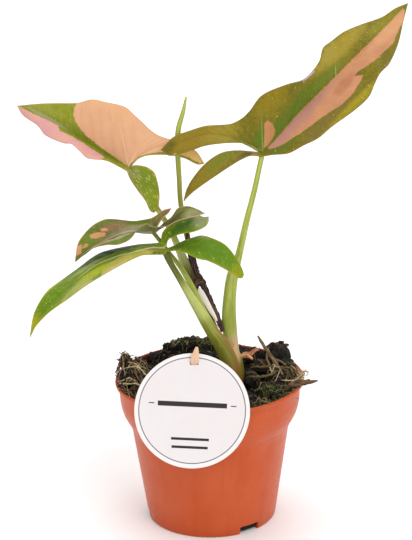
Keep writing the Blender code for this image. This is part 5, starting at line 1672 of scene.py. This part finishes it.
def build_stage(settings):
    scene = bpy.context.scene
    scene.world = bpy.data.worlds.new("studio")
    scene.world.use_nodes = True
    sky = scene.world.node_tree.nodes["Background"]
    sky.inputs["Color"].default_value = (1, 1, 1, 1)
    sky.inputs["Strength"].default_value = settings.sky
    f = Finish("pale_floor", 0.7)
    f.lay(settings.floor_colour, (0.98, 0.98, 0.98, 1), f.step(f.noise(f.place(), 0.01, 2), 0.3, 0.7))
    reach = settings.floor_reach / MM
    corners = [(-reach, -reach, 0), (reach, -reach, 0), (reach, reach, 0), (-reach, reach, 0)]
    floor = make_object("floor", corners, [(0, 1, 2, 3)], [f.finish()])
    for name, (direction, breadth) in LIGHTS.items():
        add_light(name, direction, breadth, getattr(settings, name))
    add_camera(settings)
    scene.view_settings.view_transform = "Standard"


def add_light(name, direction, breadth, strength):
    """A broad distant light."""
    data = bpy.data.lights.new(name, "SUN")
    data.angle = math.radians(breadth)
    data.energy = strength
    light = link_object(name, data)
    light.location = direction
    light.rotation_euler = (-Vector(direction)).to_track_quat("-Z", "Y").to_euler()


def add_camera(settings):
    """The camera at the photograph's angle: level turn 0, a slight roll, no shift."""
    data = bpy.data.cameras.new("view")
    data.sensor_width = SENSOR
    data.lens = FOCUS_PIXELS * SENSOR / FRAME_PIXELS
    camera = link_object("view", data)
    tilt = Matrix.Rotation(math.pi / 2 - settings.camera_rise, 4, "X")
    roll = Matrix.Rotation(math.radians(CAMERA_ROLL), 4, "Z")
    back = tilt @ Vector((0, 0, settings.camera_distance))
    camera.matrix_world = Matrix.Translation(Vector(settings.look_at) + back) @ tilt @ roll
    bpy.context.scene.camera = camera


# Settings

def a_length(name, description, value):
    return FloatProperty(name=name, description=description, default=value, unit="LENGTH", precision=5)


def a_level(name, description, value, most=2.0):
    return FloatProperty(name=name, description=description, default=value, min=0.0, max=most)


def a_count(name, description, value, least):
    return IntProperty(name=name, description=description, default=value, min=least)


def a_colour(name, description, value):
    return FloatVectorProperty(name=name, description=description, subtype="COLOR", size=4, min=0.0,
                               max=1.0, default=shown(value))


class PotSettings(bpy.types.PropertyGroup):
    lip_radius: a_length("Lip radius", "Radius of the rolled lip", POT_BOX[1].x)
    height: a_length("Height", "Height of the pot", POT_BOX[1].z)
    segments: a_count("Segments", "Faces round the pot", 180, 24)
    plastic: a_colour("Plastic", "Main colour of the plastic", (201, 89, 49))
    plastic_light: a_colour("Light plastic", "Where the plastic is thin", (207, 98, 60))
    plastic_deep: a_colour("Deep plastic", "Where the plastic is thick", (184, 76, 40))


class SoilSettings(bpy.types.PropertyGroup):
    grain: a_length("Grain", "Size of the crust's smallest forms", 0.0008)
    moss_share: a_level("Moss", "Share of the full moss", 1.0)
    fibre_share: a_level("Fibres", "Share of the full root fibres", 1.0)
    crumbs: a_count("Crumbs", "Loose crumbs of bark", 900, 0)
    peat: a_colour("Peat", "Moist peat", (46, 39, 31))
    peat_deep: a_colour("Deep peat", "Peat in the hollows", (30, 28, 25))
    peat_bark: a_colour("Bark crumb", "Brown bits in the peat", (88, 64, 46))
    moss: a_colour("Moss", "Living moss", (94, 104, 44))
    moss_deep: a_colour("Deep moss", "Moss in the shade", (38, 46, 24))
    moss_light: a_colour("Light moss", "Tips of the moss", (158, 162, 96))
    fibre: a_colour("Fibre", "Root fibres", (132, 102, 70))
    fibre_deep: a_colour("Deep fibre", "Dark root fibres", (42, 32, 28))
    fibre_light: a_colour("Light fibre", "Dry root fibres", (216, 192, 150))
    tuft: a_colour("Tuft", "Red-brown torn root mat", (118, 78, 50))
    stick: a_colour("Stick", "Sticks grown over with moss", (116, 102, 60))


class StemSettings(bpy.types.PropertyGroup):
    sides: a_count("Sides", "Faces round a stalk", 36, 8)
    green: a_colour("Green", "Main colour of the stalks", (180, 192, 80))
    green_light: a_colour("Light green", "Ridges of the stalks", (200, 210, 118))
    green_deep: a_colour("Deep green", "Shaded side of the stalks", (120, 126, 40))
    blush: a_colour("Blush", "Pink foot of the sheaths", (224, 178, 148))
    foot: a_colour("Foot", "Olive-brown foot in the soil", (122, 90, 48))
    seam: a_colour("Seam", "Browned edges of the sheaths", (170, 116, 66))


class LeafSettings(bpy.types.PropertyGroup):
    rows: a_count("Rows", "Rows of faces along a main lobe", 120, 12)
    lobe_rows: a_count("Lobe rows", "Rows of faces along a basal lobe", 56, 8)
    columns: a_count("Columns", "Faces from a vein to the margin", 24, 4)
    rib_height: a_length("Rib", "How far the main veins stand out below", 0.0009)
    quilting: a_length("Quilting", "Swell between the lateral veins", 0.00016)


class TagSettings(bpy.types.PropertyGroup):
    line_width: a_length("Ring line", "Width of the printed ring", 0.0006)
    card: a_colour("Card", "Face of the card", (240, 234, 235))
    card_warm: a_colour("Warm card", "Where the card has yellowed", (240, 231, 231))
    card_rim: a_colour("Card rim", "Face of the card outside the printed ring", (248, 243, 242))
    ink: a_colour("Ink", "Printed lines", (52, 48, 50))


class StageSettings(bpy.types.PropertyGroup):
    sky: a_level("Dome", "Strength of the white surroundings", 0.7, 10.0)
    key: a_level("Key light", "Strength of the soft light at the right", 1.15, 10.0)
    fill: a_level("Fill light", "Strength of the soft light at the left", 0.2, 10.0)
    top: a_level("Top light", "Strength of the soft light above", 1.1, 10.0)
    floor_reach: a_length("Floor", "Half the floor's side", 6.0)
    floor_colour: a_colour("Floor colour", "Colour of the floor", (1.0, 1.0, 1.0, 1.0))
    camera_distance: a_length("Distance", "From the camera to the plant", 1.2)
    camera_rise: FloatProperty(name="Rise", description="How far the camera looks down",
                               default=math.radians(18.7), unit="ROTATION", subtype="ANGLE")
    look_at: FloatVectorProperty(name="Look at", description="Point in the middle of the frame",
                                 default=(-0.0009, 0.0, 0.1647), subtype="XYZ", unit="LENGTH")


GROUPS = {"pot": PotSettings, "soil": SoilSettings, "stem": StemSettings, "leaf": LeafSettings,
          "tag": TagSettings, "stage": StageSettings}


def settings_of(key):
    return getattr(bpy.context.scene, "plant_" + key)


# Operators

class PLANT_OT_make_pot(bpy.types.Operator):
    """Make the moulded nursery pot"""
    bl_idname = "plant.make_pot"
    bl_label = "Pot"

    def execute(self, context):
        build_pot(settings_of("pot"))
        return {"FINISHED"}


class PLANT_OT_make_soil(bpy.types.Operator):
    """Make the peat, its clods, tufts, moss, root fibres, bark crumbs and sticks"""
    bl_idname = "plant.make_soil"
    bl_label = "Soil and litter"

    def execute(self, context):
        settings = settings_of("soil")
        ground = Ground(build_peat(settings), build_clods())
        for build in (build_tufts, build_moss, build_fibres, build_crumbs):
            build(settings, ground)
        build_sticks(settings)
        return {"FINISHED"}


class PLANT_OT_make_stems(bpy.types.Operator):
    """Make the crown, the stalks, the spear leaf, the dried scraps and the twig"""
    bl_idname = "plant.make_stems"
    bl_label = "Stems"

    def execute(self, context):
        build_stems(settings_of("stem"))
        build_stipule()
        return {"FINISHED"}


class PLANT_OT_make_leaves(bpy.types.Operator):
    """Make the four lobed blades"""
    bl_idname = "plant.make_leaves"
    bl_label = "Leaves"

    def execute(self, context):
        for name, leaf in LEAVES.items():
            build_blade(name, leaf, settings_of("leaf"))
        return {"FINISHED"}


class PLANT_OT_make_tag(bpy.types.Operator):
    """Make the round tag and its pick"""
    bl_idname = "plant.make_tag"
    bl_label = "Tag and pick"

    def execute(self, context):
        build_tag(settings_of("tag"))
        return {"FINISHED"}


class PLANT_OT_make_stage(bpy.types.Operator):
    """Make the floor, the soft lights and the camera"""
    bl_idname = "plant.make_stage"
    bl_label = "Stage"

    def execute(self, context):
        build_stage(settings_of("stage"))
        return {"FINISHED"}


OPERATORS = [PLANT_OT_make_pot, PLANT_OT_make_soil, PLANT_OT_make_stems, PLANT_OT_make_leaves,
             PLANT_OT_make_tag, PLANT_OT_make_stage]


class PLANT_PT_panel(bpy.types.Panel):
    """Lists the plant's sizes, colours and pieces"""
    bl_idname = "PLANT_PT_panel"
    bl_label = "Potted plant"
    bl_space_type = "VIEW_3D"
    bl_region_type = "UI"
    bl_category = "Plant"

    def draw(self, context):
        for key, operator in zip(GROUPS, OPERATORS):
            box = self.layout.box()
            box.operator(operator.bl_idname)
            for name in GROUPS[key].__annotations__:
                box.prop(settings_of(key), name)


def register():
    for group in GROUPS.values():
        bpy.utils.register_class(group)
    for key, group in GROUPS.items():
        setattr(bpy.types.Scene, "plant_" + key, PointerProperty(type=group))
    for operator in OPERATORS:
        bpy.utils.register_class(operator)
    bpy.utils.register_class(PLANT_PT_panel)


def unregister():
    bpy.utils.unregister_class(PLANT_PT_panel)
    for operator in reversed(OPERATORS):
        bpy.utils.unregister_class(operator)
    for key, group in GROUPS.items():
        delattr(bpy.types.Scene, "plant_" + key)
        bpy.utils.unregister_class(group)


def main():
    register()
    bpy.ops.plant.make_pot()
    bpy.ops.plant.make_soil()
    bpy.ops.plant.make_stems()
    bpy.ops.plant.make_leaves()
    bpy.ops.plant.make_tag()
    bpy.ops.plant.make_stage()
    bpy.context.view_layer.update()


if __name__ == "__main__":
    main()
